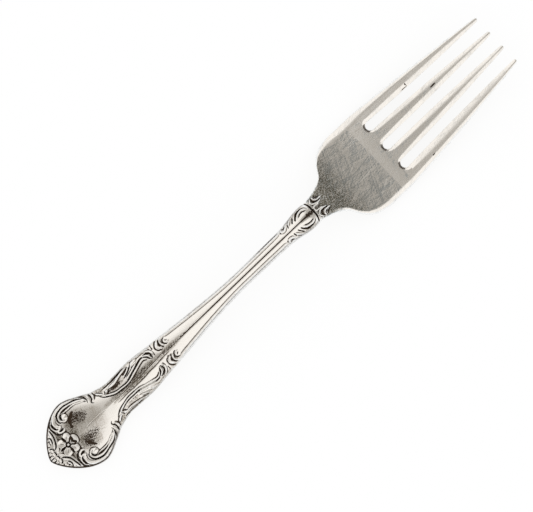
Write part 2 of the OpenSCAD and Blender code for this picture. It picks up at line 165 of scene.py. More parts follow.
@dataclass(frozen=True)
class Blank:
    """The plain blank under the ornament; stations run in millimetres from the handle's tip."""

    tip_x: float
    leaf_start: float
    stem_start: float
    neck_start: float
    collar: float
    slot_root: float
    length: float
    terminal_w: float
    palm_w: float
    waist_w: float = 6.8
    leaf_w: float = 7.1
    leaf_end_w: float = 6.2
    stem_w: float = 3.1
    stem_end_w: float = 3.3
    neck_w: float = 4.6
    collar_w: float = 4.3
    tine_w: float = 2.8
    tine_tip_w: float = 0.75
    tip_span: float = 10.8
    arch_rise: float = 5.6
    tip_rise: float = 5.2
    dish: float = 0.35
    rest_depth: float = 0.08
    terminal_t: float = 1.9
    stem_t: float = 2.6
    neck_t: float = 2.8
    palm_t: float = 1.6
    tip_t: float = 0.9
    peak_share: float = 0.56
    rest_share: float = 0.33
    slim_share: float = 0.67
    neck_share: float = 0.76
    full_share: float = 0.66
    belly_share: float = 0.75
    nose_power: float = 1.8
    nose_rise: float = 0.75
    slot_shift: float = 0.3
    slot_bevel: float = 0.58
    outer_power: float = 2.8
    outer_fall: float = 0.85
    slot_fall: float = 0.42
    slot_power: float = 1.8
    dirt: float = 0.57
    dirt_lip: Span = (0.02, 0.12)
    dirt_reach: Span = (0.35, 0.7)
    dirt_arc: float = 0.5
    dirt_waves: tuple[Wave, ...] = ((0.12, 9, 1), (0.08, 23, 0))
    dirt_blend: float = 0.25

    @classmethod
    def from_frame(cls) -> "Blank":
        """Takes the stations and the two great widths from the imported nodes.

        Returns:
            The blank.
        """
        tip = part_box("terminal")[0][0]
        nodes = ("terminal", "leaf_shank", "stem", "neck", "palm", "tine_1")
        ends = [(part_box(n)[1][0] - tip) / MM for n in nodes]
        wide = [(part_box(n)[1][1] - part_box(n)[0][1]) / MM for n in ("terminal", "palm")]
        return cls(tip / MM, *ends, *wide)

    @property
    def leaf_length(self) -> float:
        """Length of the leaf shank."""
        return self.stem_start - self.leaf_start

    @property
    def neck_length(self) -> float:
        """Length of the neck."""
        return self.collar - self.neck_start

    @property
    def palm_length(self) -> float:
        """Length of the palm up to the slot roots."""
        return self.slot_root - self.collar

    @property
    def tine_length(self) -> float:
        """Length of the tines."""
        return self.length - self.slot_root

    @property
    def terminal_peak(self) -> float:
        """Station of the handle end's widest place."""
        return self.peak_share * self.leaf_start

    @property
    def palm_full(self) -> float:
        """Station where the palm has its full width."""
        return self.collar + self.full_share * self.palm_length

    @property
    def slim(self) -> float:
        """Station of the slimmest place of the stem."""
        return self.stem_start + self.slim_share * (self.neck_start - self.stem_start)

    @property
    def neck_peak(self) -> float:
        """Station of the neck's widest place."""
        return self.neck_start + self.neck_share * self.neck_length

    @property
    def belly(self) -> float:
        """Station where the palm rests."""
        return self.collar + self.belly_share * self.palm_length

    @property
    def handle_rest(self) -> float:
        """Station where the handle rests."""
        return self.rest_share * self.leaf_start

    @property
    def root_pitch(self) -> float:
        """Distance from tine to tine at the slot roots."""
        return (self.palm_w - self.tine_w) / 3

    @property
    def round_r(self) -> float:
        """Radius of the round at a slot's root."""
        return (self.root_pitch - self.tine_w) / 2

    @property
    def round_at(self) -> float:
        """Station of the middle of that round."""
        return self.slot_root + self.slot_shift + self.round_r

    @cached_property
    def widths(self) -> Knots:
        """Half widths of the handle from its widest place to the collar."""
        peak, leaf, terminal = self.terminal_peak, self.leaf_start, self.terminal_w / 2
        return Knots((
            (peak - 0.7, terminal),
            (peak + 0.1, terminal),
            (peak + 1.5, 0.95 * terminal),
            (peak + 3.3, 0.82 * terminal),
            (leaf - 1.6, 0.73 * terminal),
            (leaf - 0.2, 1.2 * self.waist_w / 2),
            (leaf + 0.24 * self.leaf_length, self.waist_w / 2),
            (leaf + 0.61 * self.leaf_length, self.leaf_w / 2),
            (self.stem_start, self.leaf_end_w / 2),
            (self.slim, self.stem_w / 2),
            (self.neck_start, self.stem_end_w / 2),
            (self.neck_peak, self.neck_w / 2),
            (self.collar, self.collar_w / 2),
        ))

    @cached_property
    def flare(self) -> Knots:
        """Shares of the way along the shoulder and out to the full palm."""
        return Knots(((0, 0), (0.22, 0.1), (0.42, 0.3), (0.545, 0.63), (0.67, 0.845), (0.82, 0.955), (1, 1)))

    @cached_property
    def back(self) -> Knots:
        """Height of the underside along the middle."""
        arch, tip, palm = self.arch_rise, self.tip_rise, self.palm_length
        return Knots((
            (0, 2 * self.rest_depth),
            (self.handle_rest, -self.rest_depth),
            (self.leaf_start, 0.05 * arch),
            (self.stem_start, 0.29 * arch),
            (self.slim, 0.84 * arch),
            (self.neck_start + 0.3 * self.neck_length, arch),
            (self.collar, 0.86 * arch),
            (self.collar + 0.27 * palm, 0.42 * arch),
            (self.collar + 0.51 * palm, 0.1 * arch),
            (self.belly, -self.rest_depth),
            (self.slot_root, 0.05 * tip),
            (self.slot_root + 0.5 * self.tine_length, 0.43 * tip),
            (self.length, tip),
        ))

    @cached_property
    def thick(self) -> Knots:
        """Thickness along the middle."""
        return Knots((
            (0, 0.8 * self.terminal_t),
            (self.handle_rest, self.terminal_t),
            (self.stem_start, (self.terminal_t + self.stem_t) / 2),
            (self.slim, self.stem_t),
            (self.neck_peak, self.neck_t),
            (self.palm_full, self.palm_t),
            (self.slot_root, self.palm_t),
            (self.length, self.tip_t),
        ))

    @cached_property
    def crown(self) -> Knots:
        """Height of the roof-shaped crown along the middle."""
        return Knots((
            (3, 0), (self.terminal_peak, 0.5), (self.leaf_start, 0.6), (self.stem_start, 0.45),
            (self.neck_start, 0.45), (self.neck_peak, 0.72), (self.collar, 0.45), (self.belly, 0),
        ))

    @cached_property
    def hollow(self) -> Knots:
        """Depth of the dish across the palm and the tines."""
        return Knots((
            (self.collar, 0), (self.palm_full, self.dish), (self.slot_root, self.dish),
            (self.length, self.dish / 3),
        ))

    @cached_property
    def edge(self) -> Knots:
        """Power of the superellipse across a section: higher is squarer."""
        return Knots(((self.neck_start, 3), (self.palm_full, 5)))

    @cached_property
    def bevels(self) -> dict[Side, Knots]:
        """Width of the bevel along each edge of the palm and the tines; the right one is more worn."""
        start, root = self.collar, self.slot_root
        left = Knots((
            (start, 0.25), (start + 5, 0.35), (start + 7, 0.7), (start + 9.5, 1.7), (self.palm_full, 2.2),
            (root - 1.5, 2.1), (root + 2, 1.5), (root + 7, 1.05), (root + 16, 0.68), (self.length, 0.27),
        ))
        right = Knots((
            (start, 0.6), (self.palm_full, 1.3), (root, 1.2), (root + 6, 1.02), (root + 16, 0.72),
            (self.length, 0.25),
        ))
        return {Side.LEFT: left, Side.RIGHT: right}

    def half_width(self, s: Grid) -> Grid:
        """Half width of the outline.

        Args:
            s: Stations.
        Returns:
            Half widths there.
        """
        left = np.clip(1 - s / self.terminal_peak, 0, 1)
        nose = self.terminal_w / 2 * np.maximum(0, 1 - left ** self.nose_power) ** self.nose_rise
        way = np.clip((s - self.collar) / (self.palm_full - self.collar), 0, 1)
        shoulder = (self.collar_w + (self.palm_w - self.collar_w) * self.flare(way)) / 2
        return np.where(s < self.terminal_peak, nose, np.where(s < self.collar, self.widths(s), shoulder))

    def slot_room(self, s: Grid, y: Grid) -> Grid:
        """Distance from the rounded root of the nearest slot.

        Args:
            s: Stations up to the middle of the round.
            y: Offsets from the centre line.
        Returns:
            Distances in millimetres.
        """
        side = np.abs(y - self.root_pitch * np.clip(np.round(y / self.root_pitch), -1, 1))
        return np.hypot(np.maximum(0, self.round_at - s), side) - self.round_r

    def slot_edge(self, s: Grid, y: Grid) -> Grid:
        """Share of the bevel round the slot roots: 0 at the edge, 1 on the flat."""
        return np.clip(self.slot_room(s, y) / self.slot_bevel, 0, 1)

    def slot_dirt(self, s: Grid, y: Grid) -> Grid:
        """Dark crescent with a ragged end that lies in each slot root.

        Args:
            s: Stations.
            y: Offsets from the centre line.
        Returns:
            How dark each place is, from 0 to 1.
        """
        room = self.slot_room(s, y)
        facing = (self.round_at - s) / (room + self.round_r)
        ragged = sum((a * np.sin(b * y + c) for a, b, c in self.dirt_waves), self.dirt_arc)
        lip = (1 + smooth(*self.dirt_lip, room)) / 2
        near = 1 - smooth(*self.dirt_reach, room)
        return self.dirt * lip * near * smooth(ragged, ragged + self.dirt_blend, facing)

    def fall(self, flat: Grid, slot: Grid) -> Grid:
        """How far the face drops to its bevels, as a share of half the thickness.

        Args:
            flat: Share of the outer bevel, 1 on the flat.
            slot: Share of the slot's bevel, 1 on the flat.
        Returns:
            The greater of the two falls.
        """
        outer = self.outer_fall * (1 - flat) ** self.outer_power
        return np.maximum(outer, self.slot_fall * (1 - slot) ** self.slot_power)

    def middle(self, s: Grid, y: Grid) -> Grid:
        """Height of the surface half way through the metal.

        Args:
            s: Stations.
            y: Offsets from the centre line.
        Returns:
            Heights there.
        """
        return self.back(s) + self.thick(s) / 2 + self.hollow(s) * (2 * y / self.palm_w) ** 2


class Section(Enum):
    """How a struck knob rises across its width."""

    ROUND = "round"
    CUP = "cup"

    def rise(self, q: Grid) -> Grid:
        """Height share at the share q of the half width.

        Args:
            q: 0 in the middle, 1 on the rim.
        Returns:
            Shares of the full height.
        """
        if self is Section.ROUND:
            return np.clip(1 - q * q, 0, 1)
        return (CUP_FLOOR + (1 - CUP_FLOOR) * q * q) * smooth(0, CUP_LIP, np.clip(1 - q, 0, 1))


@dataclass(frozen=True)
class Stroke:
    """A line of the ornament, raised or (with a height below 0) cut in."""

    points: Points
    width: float
    height: float
    grow: float = 0.15
    fade: float = 0.25
    end_share: float = 0.35
    taper: float = 1.0
    spacing: float = 0.12

    def _path(self) -> tuple[Grid, Grid]:
        """The smooth path and the share of full size along it.

        Returns:
            Points of a spline through the stroke's own, and the sizes there.
        """
        p = np.array(self.points)
        reach = np.hypot(*np.diff(p, axis=0).T).sum()
        t = np.linspace(0, len(p) - 1, int(reach / self.spacing) + 2)
        i = np.minimum(t.astype(int), len(p) - 2)
        f = (t - i)[:, None]
        a, b, c, d = p[np.maximum(i - 1, 0)], p[i], p[i + 1], p[np.minimum(i + 2, len(p) - 1)]
        path = b + f * ((c - a) / 2 + f * (a - 2.5 * b + 2 * c - d / 2 + f * (1.5 * (b - c) + (d - a) / 2)))
        run = np.concatenate([[0], np.cumsum(np.hypot(*np.diff(path, axis=0).T))])
        run /= run[-1]
        near = np.minimum(np.clip(run / self.grow, 0, 1), np.clip((1 - run) / self.fade, 0, 1))
        size = self.end_share + (1 - self.end_share) * np.sin(near * math.pi / 2)
        return path, size * (1 + (self.taper - 1) * run)

    def lift(self, s: Grid, y: Grid) -> Grid:
        """Height that the stroke adds.

        Args:
            s: Stations.
            y: Offsets.
        Returns:
            Heights, zero away from the stroke.
        """
        path, size = self._path()
        reach = self.width / 2
        half = reach * size
        low, high = path.min(0) - reach, path.max(0) + reach
        out = np.zeros(s.shape)
        near = (s > low[0]) & (s < high[0]) & (y > low[1]) & (y < high[1])
        if not near.any():
            return out
        ps, py = s[near][:, None] - path[:-1, 0], y[near][:, None] - path[:-1, 1]
        ds, dy = np.diff(path, axis=0).T
        f = np.clip((ps * ds + py * dy) / (ds * ds + dy * dy), 0, 1)
        wide = half[:-1] + f * np.diff(half)
        q = np.hypot(ps - f * ds, py - f * dy) / wide
        k = (np.arange(len(q)), q.argmin(1))
        out[near] = self.height * np.sqrt(wide[k] / reach) * Section.ROUND.rise(q[k])
        return out


@dataclass(frozen=True)
class Boss:
    """An oval knob or petal."""

    at: Span
    long: float
    wide: float
    turn: float
    height: float
    section: Section = Section.ROUND
    tilt: float = 0.0
    tilt_span: Span = (-1, 0.75)

    def _along(self, s: Grid, y: Grid) -> tuple[Grid, Grid]:
        """Places as shares of the oval's two half axes.

        Args:
            s: Stations.
            y: Offsets.
        Returns:
            Shares along and across the oval.
        """
        c, n = heading(self.turn)
        x, w = s - self.at[0], y - self.at[1]
        return (x * c + w * n) / self.long, (w * c - x * n) / self.wide

    def share(self, s: Grid, y: Grid) -> Grid:
        """How far out on the oval each place lies: 0 in the middle, 1 on its rim."""
        return np.hypot(*self._along(s, y))

    def lift(self, s: Grid, y: Grid) -> Grid:
        """Height that the boss adds; a tilted one is low at its near end."""
        lean = 1 - self.tilt * (1 - smooth(*self.tilt_span, self._along(s, y)[0]))
        return self.height * lean * self.section.rise(self.share(s, y))


Mark = Stroke | Boss


@dataclass(frozen=True)
class Stain:
    """An oval patch of old tarnish, film or wear; its offset has a sign, so it lies on one side."""

    at: Span
    long: float
    wide: float
    turn: float
    depth: float
    core: float = 0.35

    def share(self, s: Grid, y: Grid) -> Grid:
        """How dark the patch is at each place."""
        oval = Boss(self.at, self.long, self.wide, self.turn, 1)
        return self.depth * (1 - smooth(self.core, 1, oval.share(s, y)))

    def ends(self) -> Points:
        """The two ends of the patch."""
        along, across = (self.long * way for way in heading(self.turn))
        return (self.at[0] - along, self.at[1] - across), (self.at[0] + along, self.at[1] + across)


def stained(*rows: tuple[float, ...]) -> list[Stain]:
    """Stains from rows of station, offset, half length, half width, turn and depth."""
    return [Stain((s, y), *form) for s, y, *form in rows]


class Marking:
    """A group of what the die and use have left on the face; each group gives some of these."""

    def marks(self) -> list[Mark]:
        """Marks that are alike on both sides."""
        return []

    def single(self) -> list[Mark]:
        """Marks that lie where they are, on one side."""
        return []

    def stains(self) -> list[Stain]:
        """Dark tarnish."""
        return []

    def patches(self) -> list[Stain]:
        """Speckled film."""
        return []

    def bare(self) -> list[Stain]:
        """Places where the film is gone."""
        return []

    def rubbed(self) -> list[Stain]:
        """Places that handling keeps clean."""
        return []


@dataclass(frozen=True)
class Relief:
    """All that the die leaves raised or cut on the face, and the tarnish that age left on it."""

    groups: Sequence[Marking]
    drift: float = 0.06
    waves_along: tuple[Wave, ...] = ((1.9, 1.3, 0.0), (-1.1, 2.7, 0.8))
    waves_across: tuple[Wave, ...] = ((2.3, -1.7, 2.1), (1.2, 2.9, 0.0))
    lean: Knots = Knots(((13, 0), (16, 0.33), (20, 0.38), (24, 0.28), (27, 0.08), (29, 0)))
    lean_edge: float = 3.4
    lean_loss: float = 0.75
    calm_from: Span = (26.0, 30.0)
    calm_to: Span = (54.0, 58.0)

    def _drifted(self, s: Grid, y: Grid) -> tuple[Grid, Grid]:
        """Places moved a little, as in a hand-cut die that is never quite even.

        Args:
            s: Stations.
            y: Offsets from the centre line.
        Returns:
            Moved stations, and moved offsets that count positive on both sides.
        """
        along, across = (
            sum(np.sin(a * s + b * y + c) for a, b, c in waves)
            for waves in (self.waves_along, self.waves_across)
        )
        calm = smooth(*self.calm_from, s) * (1 - smooth(*self.calm_to, s))
        drift = self.drift / 2 * (1 - calm)
        inward = 1 - self.lean_loss * np.clip(y / self.lean_edge, -1, 1) ** 2
        aside = np.abs(y + self.lean(s) * inward)
        return s + drift * along, aside + drift * across * np.tanh(2 * np.abs(y))

    def height(self, s: Grid, y: Grid) -> Grid:
        """Height of the ornament over the blank.

        Args:
            s: Stations.
            y: Offsets from the centre line.
        Returns:
            Heights, below 0 in the cuts.
        """
        moved, aside = self._drifted(s, y)
        lifts = [mark.lift(moved, aside) for group in self.groups for mark in group.marks()]
        lifts += [mark.lift(s, y) for group in self.groups for mark in group.single()]
        return np.maximum(0, np.max(lifts, axis=0)) + np.minimum(0, np.min(lifts, axis=0))

    @staticmethod
    def _most(stains: Sequence[Stain], s: Grid, y: Grid) -> Grid:
        """The darkest of some stains at each place."""
        return np.max([stain.share(s, y) for stain in stains], axis=0)

    def tarnish(self, s: Grid, y: Grid) -> Grid:
        """How dark the grounds of the ornament are, from 0 to 1."""
        return self._most([stain for group in self.groups for stain in group.stains()], s, y)

    def haze(self, s: Grid, y: Grid) -> Grid:
        """How thick the speckled patches are, from 0 to 1."""
        return self._most([patch for group in self.groups for patch in group.patches()], s, y)

    def scratched(self, s: Grid, y: Grid) -> Grid:
        """How far single scratches have bared the metal, from 0 to 1."""
        return self._most([place for group in self.groups for place in group.bare()], s, y)

    def polished(self, s: Grid, y: Grid) -> Grid:
        """How far handling has rubbed the cuts clean, from 0 to 1."""
        return self._most([place for group in self.groups for place in group.rubbed()], s, y)


@dataclass(frozen=True)
class Ornament(Marking):
    """Struck ornament whose ridges and cuts share their sizes."""

    blank: Blank
    ridge_w: float
    ridge_h: float
    cut_w: float
    cut_h: float

    def ridge(self, points: Points, wide: float = 1.0, high: float = 1.0, **form: float) -> Stroke:
        """A raised line, its sizes as shares of the ornament's ridge."""
        return Stroke(points, wide * self.ridge_w, high * self.ridge_h, **form)

    def cut(self, points: Points, wide: float = 1.0, deep: float = 1.0, **form: float) -> Stroke:
        """A line cut in, its sizes as shares of the ornament's cut."""
        return Stroke(points, wide * self.cut_w, deep * self.cut_h, **form)

    def knob(self, at: Span, long: float, wide: float, turn: float, high: float = 1.0) -> Boss:
        """A round knob, its height as a share of the ornament's ridge."""
        return Boss(at, long, wide, turn, high * self.ridge_h)


@dataclass(frozen=True)
class TipOrnament(Ornament):
    """Shell, leaf bands and flower at the handle's tip."""

    ridge_w: float = 0.5
    ridge_h: float = 0.27
    cut_w: float = 0.27
    cut_h: float = -0.22
    flower_at: float = 4.45
    pearl_r: float = 0.28
    vein_w: float = 0.16
    hollow_w: float = 0.72

    def _shell(self) -> list[Mark]:
        """Two rows of lobes that fan out to the tip, and the cuts between them.

        Returns:
            The lobes and the cuts.
        """
        lobes = (
            (0.66, 0.3, 0.52, 0.29, 0), (0.82, 0.93, 0.52, 0.33, 25), (1.16, 1.68, 0.54, 0.36, 50),
            (1.42, 0.42, 0.34, 0.3, 0), (1.52, 1.14, 0.34, 0.3, 30), (1.76, 2.46, 0.48, 0.34, 48),
        )
        cuts: tuple[Points, ...] = (
            ((1.37, 1.65), (1.7, 1.5), (1.89, 1.15), (1.79, 0.8)),
            ((1.7, 0.75), (1.72, 0.3), (1.51, 0.1)),
            ((0.5, 1.28), (1.05, 1.25)),
            ((0.2, 0.58), (1.0, 0.6)),
            ((0.1, 0.0), (1.1, 0.0)),
        )
        marks: list[Mark] = [self.knob((s, y), *form, 0.75) for s, y, *form in lobes]
        return marks + [self.cut(line, 0.9, 1.35) for line in cuts]

    def _bands(self) -> list[Mark]:
        """The two bands of the vee, the curl beside them and the leaf behind the flower."""
        return [
            self.ridge(((2.12, 0.35), (2.49, 0.75), (3.01, 1.3), (3.33, 1.95), (3.52, 2.6), (3.66, 3.3),
                        (3.73, 4.2)), 1.1, 0.8, end_share=0.6),
            self.ridge(((2.26, 1.25), (2.63, 1.65), (2.96, 2.3), (3.19, 3.1), (3.26, 3.9)),
                       1.1, 0.8, end_share=0.6),
            self.cut(((3.57, 4.15), (3.49, 3.4), (3.33, 2.6), (3.1, 1.9), (2.73, 1.35), (2.31, 1.0),
                      (1.93, 0.95)), 1.25),
            self.cut(((3.95, 4.7), (3.98, 3.9), (3.98, 3.2), (4.1, 2.6)), 1.2),
            self.knob((2.17, 3.05), 0.36, 0.24, 45),
            self.knob((2.4, 2.42), 0.36, 0.24, 70),
            self.cut(((2.4, 3.3), (2.65, 3.15), (2.75, 2.7), (2.59, 2.2), (2.35, 2.0))),
            self.cut(((2.31, 2.8), (2.07, 2.5)), 0.8, 0.8),
            self.ridge(((4.55, 2.95), (4.9, 2.42), (5.5, 2.3), (6.05, 2.55)), 1.1, 1.1, fade=0.4),
            self.cut(((4.97, 2.85), (5.43, 2.72), (5.81, 2.9)), 0.8, 0.8),
        ]

    def _ray(self, turn: float, *reaches: float) -> Points:
        """Points on a line out from the flower's middle."""
        c, n = heading(turn)
        return tuple((self.flower_at + out * c, out * n) for out in reaches)

    def single(self) -> list[Mark]:
        """The flower: cupped petals round a pearl, dark wedges between them and a hollow in the front one.

        Returns:
            The marks of the flower.
        """
        at = self.flower_at
        marks: list[Mark] = [self.knob((at, 0), self.pearl_r, self.pearl_r, 0, 1.3)]
        petals = (
            (2, 1.4, 0.86, 1.0), (62, 1.32, 0.92, 0.78), (132, 1.18, 0.88, 0.86), (-133, 1.18, 0.88, 0.9),
            (-62, 1.28, 0.92, 0.8),
        )
        for turn, out, long, wide in petals:
            middle = self._ray(turn, out)[0]
            marks.append(Boss(middle, long, wide, turn, 1.25 * self.ridge_h, Section.CUP, 0.6))
            marks.append(Stroke(self._ray(turn, 0.6, 1.5), self.vein_w, 0.3 * self.cut_h))
        for turn in (31, 93, 178, -92, -31):
            gap = self._ray(turn, 0.5, 1.0, 1.75)
            marks.append(self.cut(gap, 2.1, 1.5, end_share=0.3, grow=0.45, fade=0.55))
        ring = tuple(self._ray(turn, 0.4)[0] for turn in range(0, 361, 45))
        hollow = ((at + 1.42, -0.68), (at + 1.0, 0.05), (at + 1.28, 0.7))
        marks.append(Stroke(hollow, self.hollow_w, 1.7 * self.cut_h, end_share=0.4))
        return marks + [self.cut(ring, end_share=0.8)]

    def marks(self) -> list[Mark]:
        """Shell and bands."""
        return self._shell() + self._bands()

    def stains(self) -> list[Stain]:
        """Tarnish on the ground between the shell, the bands and the petals."""
        return stained(
            (4.2, 2.5, 0.5, 0.8, -20, 0.5), (4.2, -2.5, 0.5, 0.8, 20, 0.5),
            (4.48, 0, 1.0, 1.0, 0, 0.55), (3.0, 0, 0.5, 0.6, 0, 0.6),
            (1.3, 0, 1.2, 2.4, 0, 0.12),
        )


@dataclass(frozen=True)
class RimScroll(Ornament):
    """C-scroll along the rim, its eye and the hooks that bind it."""

    ridge_w: float = 0.5
    ridge_h: float = 0.27
    cut_w: float = 0.3
    cut_h: float = -0.22
    eye_r: float = 0.66

    def marks(self) -> list[Mark]:
        """The bands of the scroll, its eye and the cuts that part them."""
        return [
            self.ridge(((11.8, 4.45), (10.9, 5.05), (9.9, 5.5), (8.9, 5.82), (7.9, 5.95), (6.9, 5.92),
                        (6.1, 5.65), (5.48, 5.2), (5.08, 4.6), (4.97, 4.0), (5.15, 3.45), (5.53, 3.3)),
                       end_share=0.6, grow=0.06, fade=0.08, taper=1.65),
            self.ridge(((4.73, 5.0), (4.36, 4.6), (4.22, 4.0), (4.31, 3.45), (4.69, 3.1), (5.25, 3.05),
                        (5.62, 3.2)), 0.9),
            self.ridge(((11.9, 3.85), (11.1, 4.5), (10.2, 4.85), (9.1, 5.2), (8.1, 5.3), (7.2, 5.2),
                        (6.55, 4.95), (6.2, 4.5), (6.12, 4.05), (6.35, 3.72), (6.85, 3.42), (7.3, 3.45)),
                       0.92, end_share=0.6, grow=0.06, fade=0.1),
            self.ridge(((11.85, 3.6), (11.1, 4.1), (10.2, 4.5), (9.3, 4.68), (8.3, 4.7), (7.5, 4.68)),
                       0.7, 0.9),
            self.ridge(((9.5, 6.1), (10.4, 5.85), (11.3, 5.4), (12.0, 4.9), (12.5, 4.3), (12.62, 3.6),
                        (12.45, 3.1))),
            self.ridge(((12.9, 4.5), (13.3, 3.9), (13.35, 3.3), (13.1, 2.7)), high=1.1),
            self.knob((7.2, 4.02), self.eye_r, 0.97 * self.eye_r, 0, 1.35),
            self.cut(((4.73, 5.3), (4.27, 4.85), (4.01, 4.3), (3.91, 3.6), (4.01, 3.0), (4.31, 2.5),
                      (4.78, 2.2), (5.43, 2.1)), 1.2),
            self.cut(((8.5, 6.2), (9.4, 6.0), (10.2, 5.7), (11.0, 5.25), (11.6, 4.8), (12.05, 4.15),
                      (12.2, 3.5), (12.1, 3.0))),
            self.cut(((11.8, 4.3), (11.1, 4.8), (10.3, 5.15), (9.4, 5.4), (8.4, 5.62), (7.5, 5.58),
                      (6.7, 5.4), (6.15, 5.05), (5.85, 4.6), (5.78, 4.1), (5.9, 3.72), (6.25, 3.6),
                      (6.6, 3.45)), 0.8, taper=1.4),
            self.cut(((9.5, 4.62), (10.3, 4.45), (11.0, 4.15), (11.6, 3.7), (11.95, 3.3)), 0.8, 0.7),
            self.cut(((7.0, 4.75), (6.65, 4.65), (6.45, 4.3), (6.5, 4.0))),
            self.cut(((4.59, 4.75), (4.45, 4.3), (4.45, 3.8), (4.64, 3.4), (4.92, 3.3)), 0.85),
            self.cut(((5.81, 5.4), (5.39, 5.0), (5.15, 4.5), (5.15, 4.0), (5.34, 3.6)), 0.55, 0.4),
            self.cut(((7.2, 4.95), (8.2, 5.02), (9.4, 4.95)), 1.1, 0.4),
            self.cut(((12.35, 4.7), (12.85, 4.25), (13.05, 3.65), (12.95, 3.1), (12.65, 2.75),
                      (12.6, 2.5), (12.85, 2.2)), 0.9),
        ]

    def stains(self) -> list[Stain]:
        """Black tarnish under the eyes, speckled further out."""
        return stained(
            (8.3, 3.5, 1.2, 0.55, 30, 1.0), (7.5, 2.85, 1.0, 0.62, 55, 1.0),
            (7.1, 2.0, 0.7, 0.45, 75, 0.9), (8.45, 2.75, 2.0, 1.2, 10, 0.66),
            (9.15, 2.3, 2.6, 1.5, -12, 0.57), (7.7, -2.5, 1.6, 0.5, -58, 0.9),
            (7.4, -2.0, 1.0, 1.3, 0, 0.7), (8.0, -1.7, 1.7, 1.7, 0, 0.61),
            (9.1, -1.5, 2.0, 1.4, 0, 0.52),
        )

    def patches(self) -> list[Stain]:
        """Speckled film beside the eyes."""
        return stained(
            (7.5, 2.9, 2.0, 1.2, 32, 1.0), (8.5, 2.3, 2.6, 2.0, 10, 0.6),
            (6.7, 1.2, 1.2, 1.5, 20, 0.8), (7.2, -1.5, 1.6, 1.9, -15, 0.9),
            (8.2, -2.0, 2.4, 1.9, -30, 0.6), (4.1, 2.2, 0.8, 1.2, 0, 0.8),
            (4.1, -2.2, 0.8, 1.2, 0, 0.8), (9.6, 0.4, 4.5, 4.2, 0, 0.16),
        )


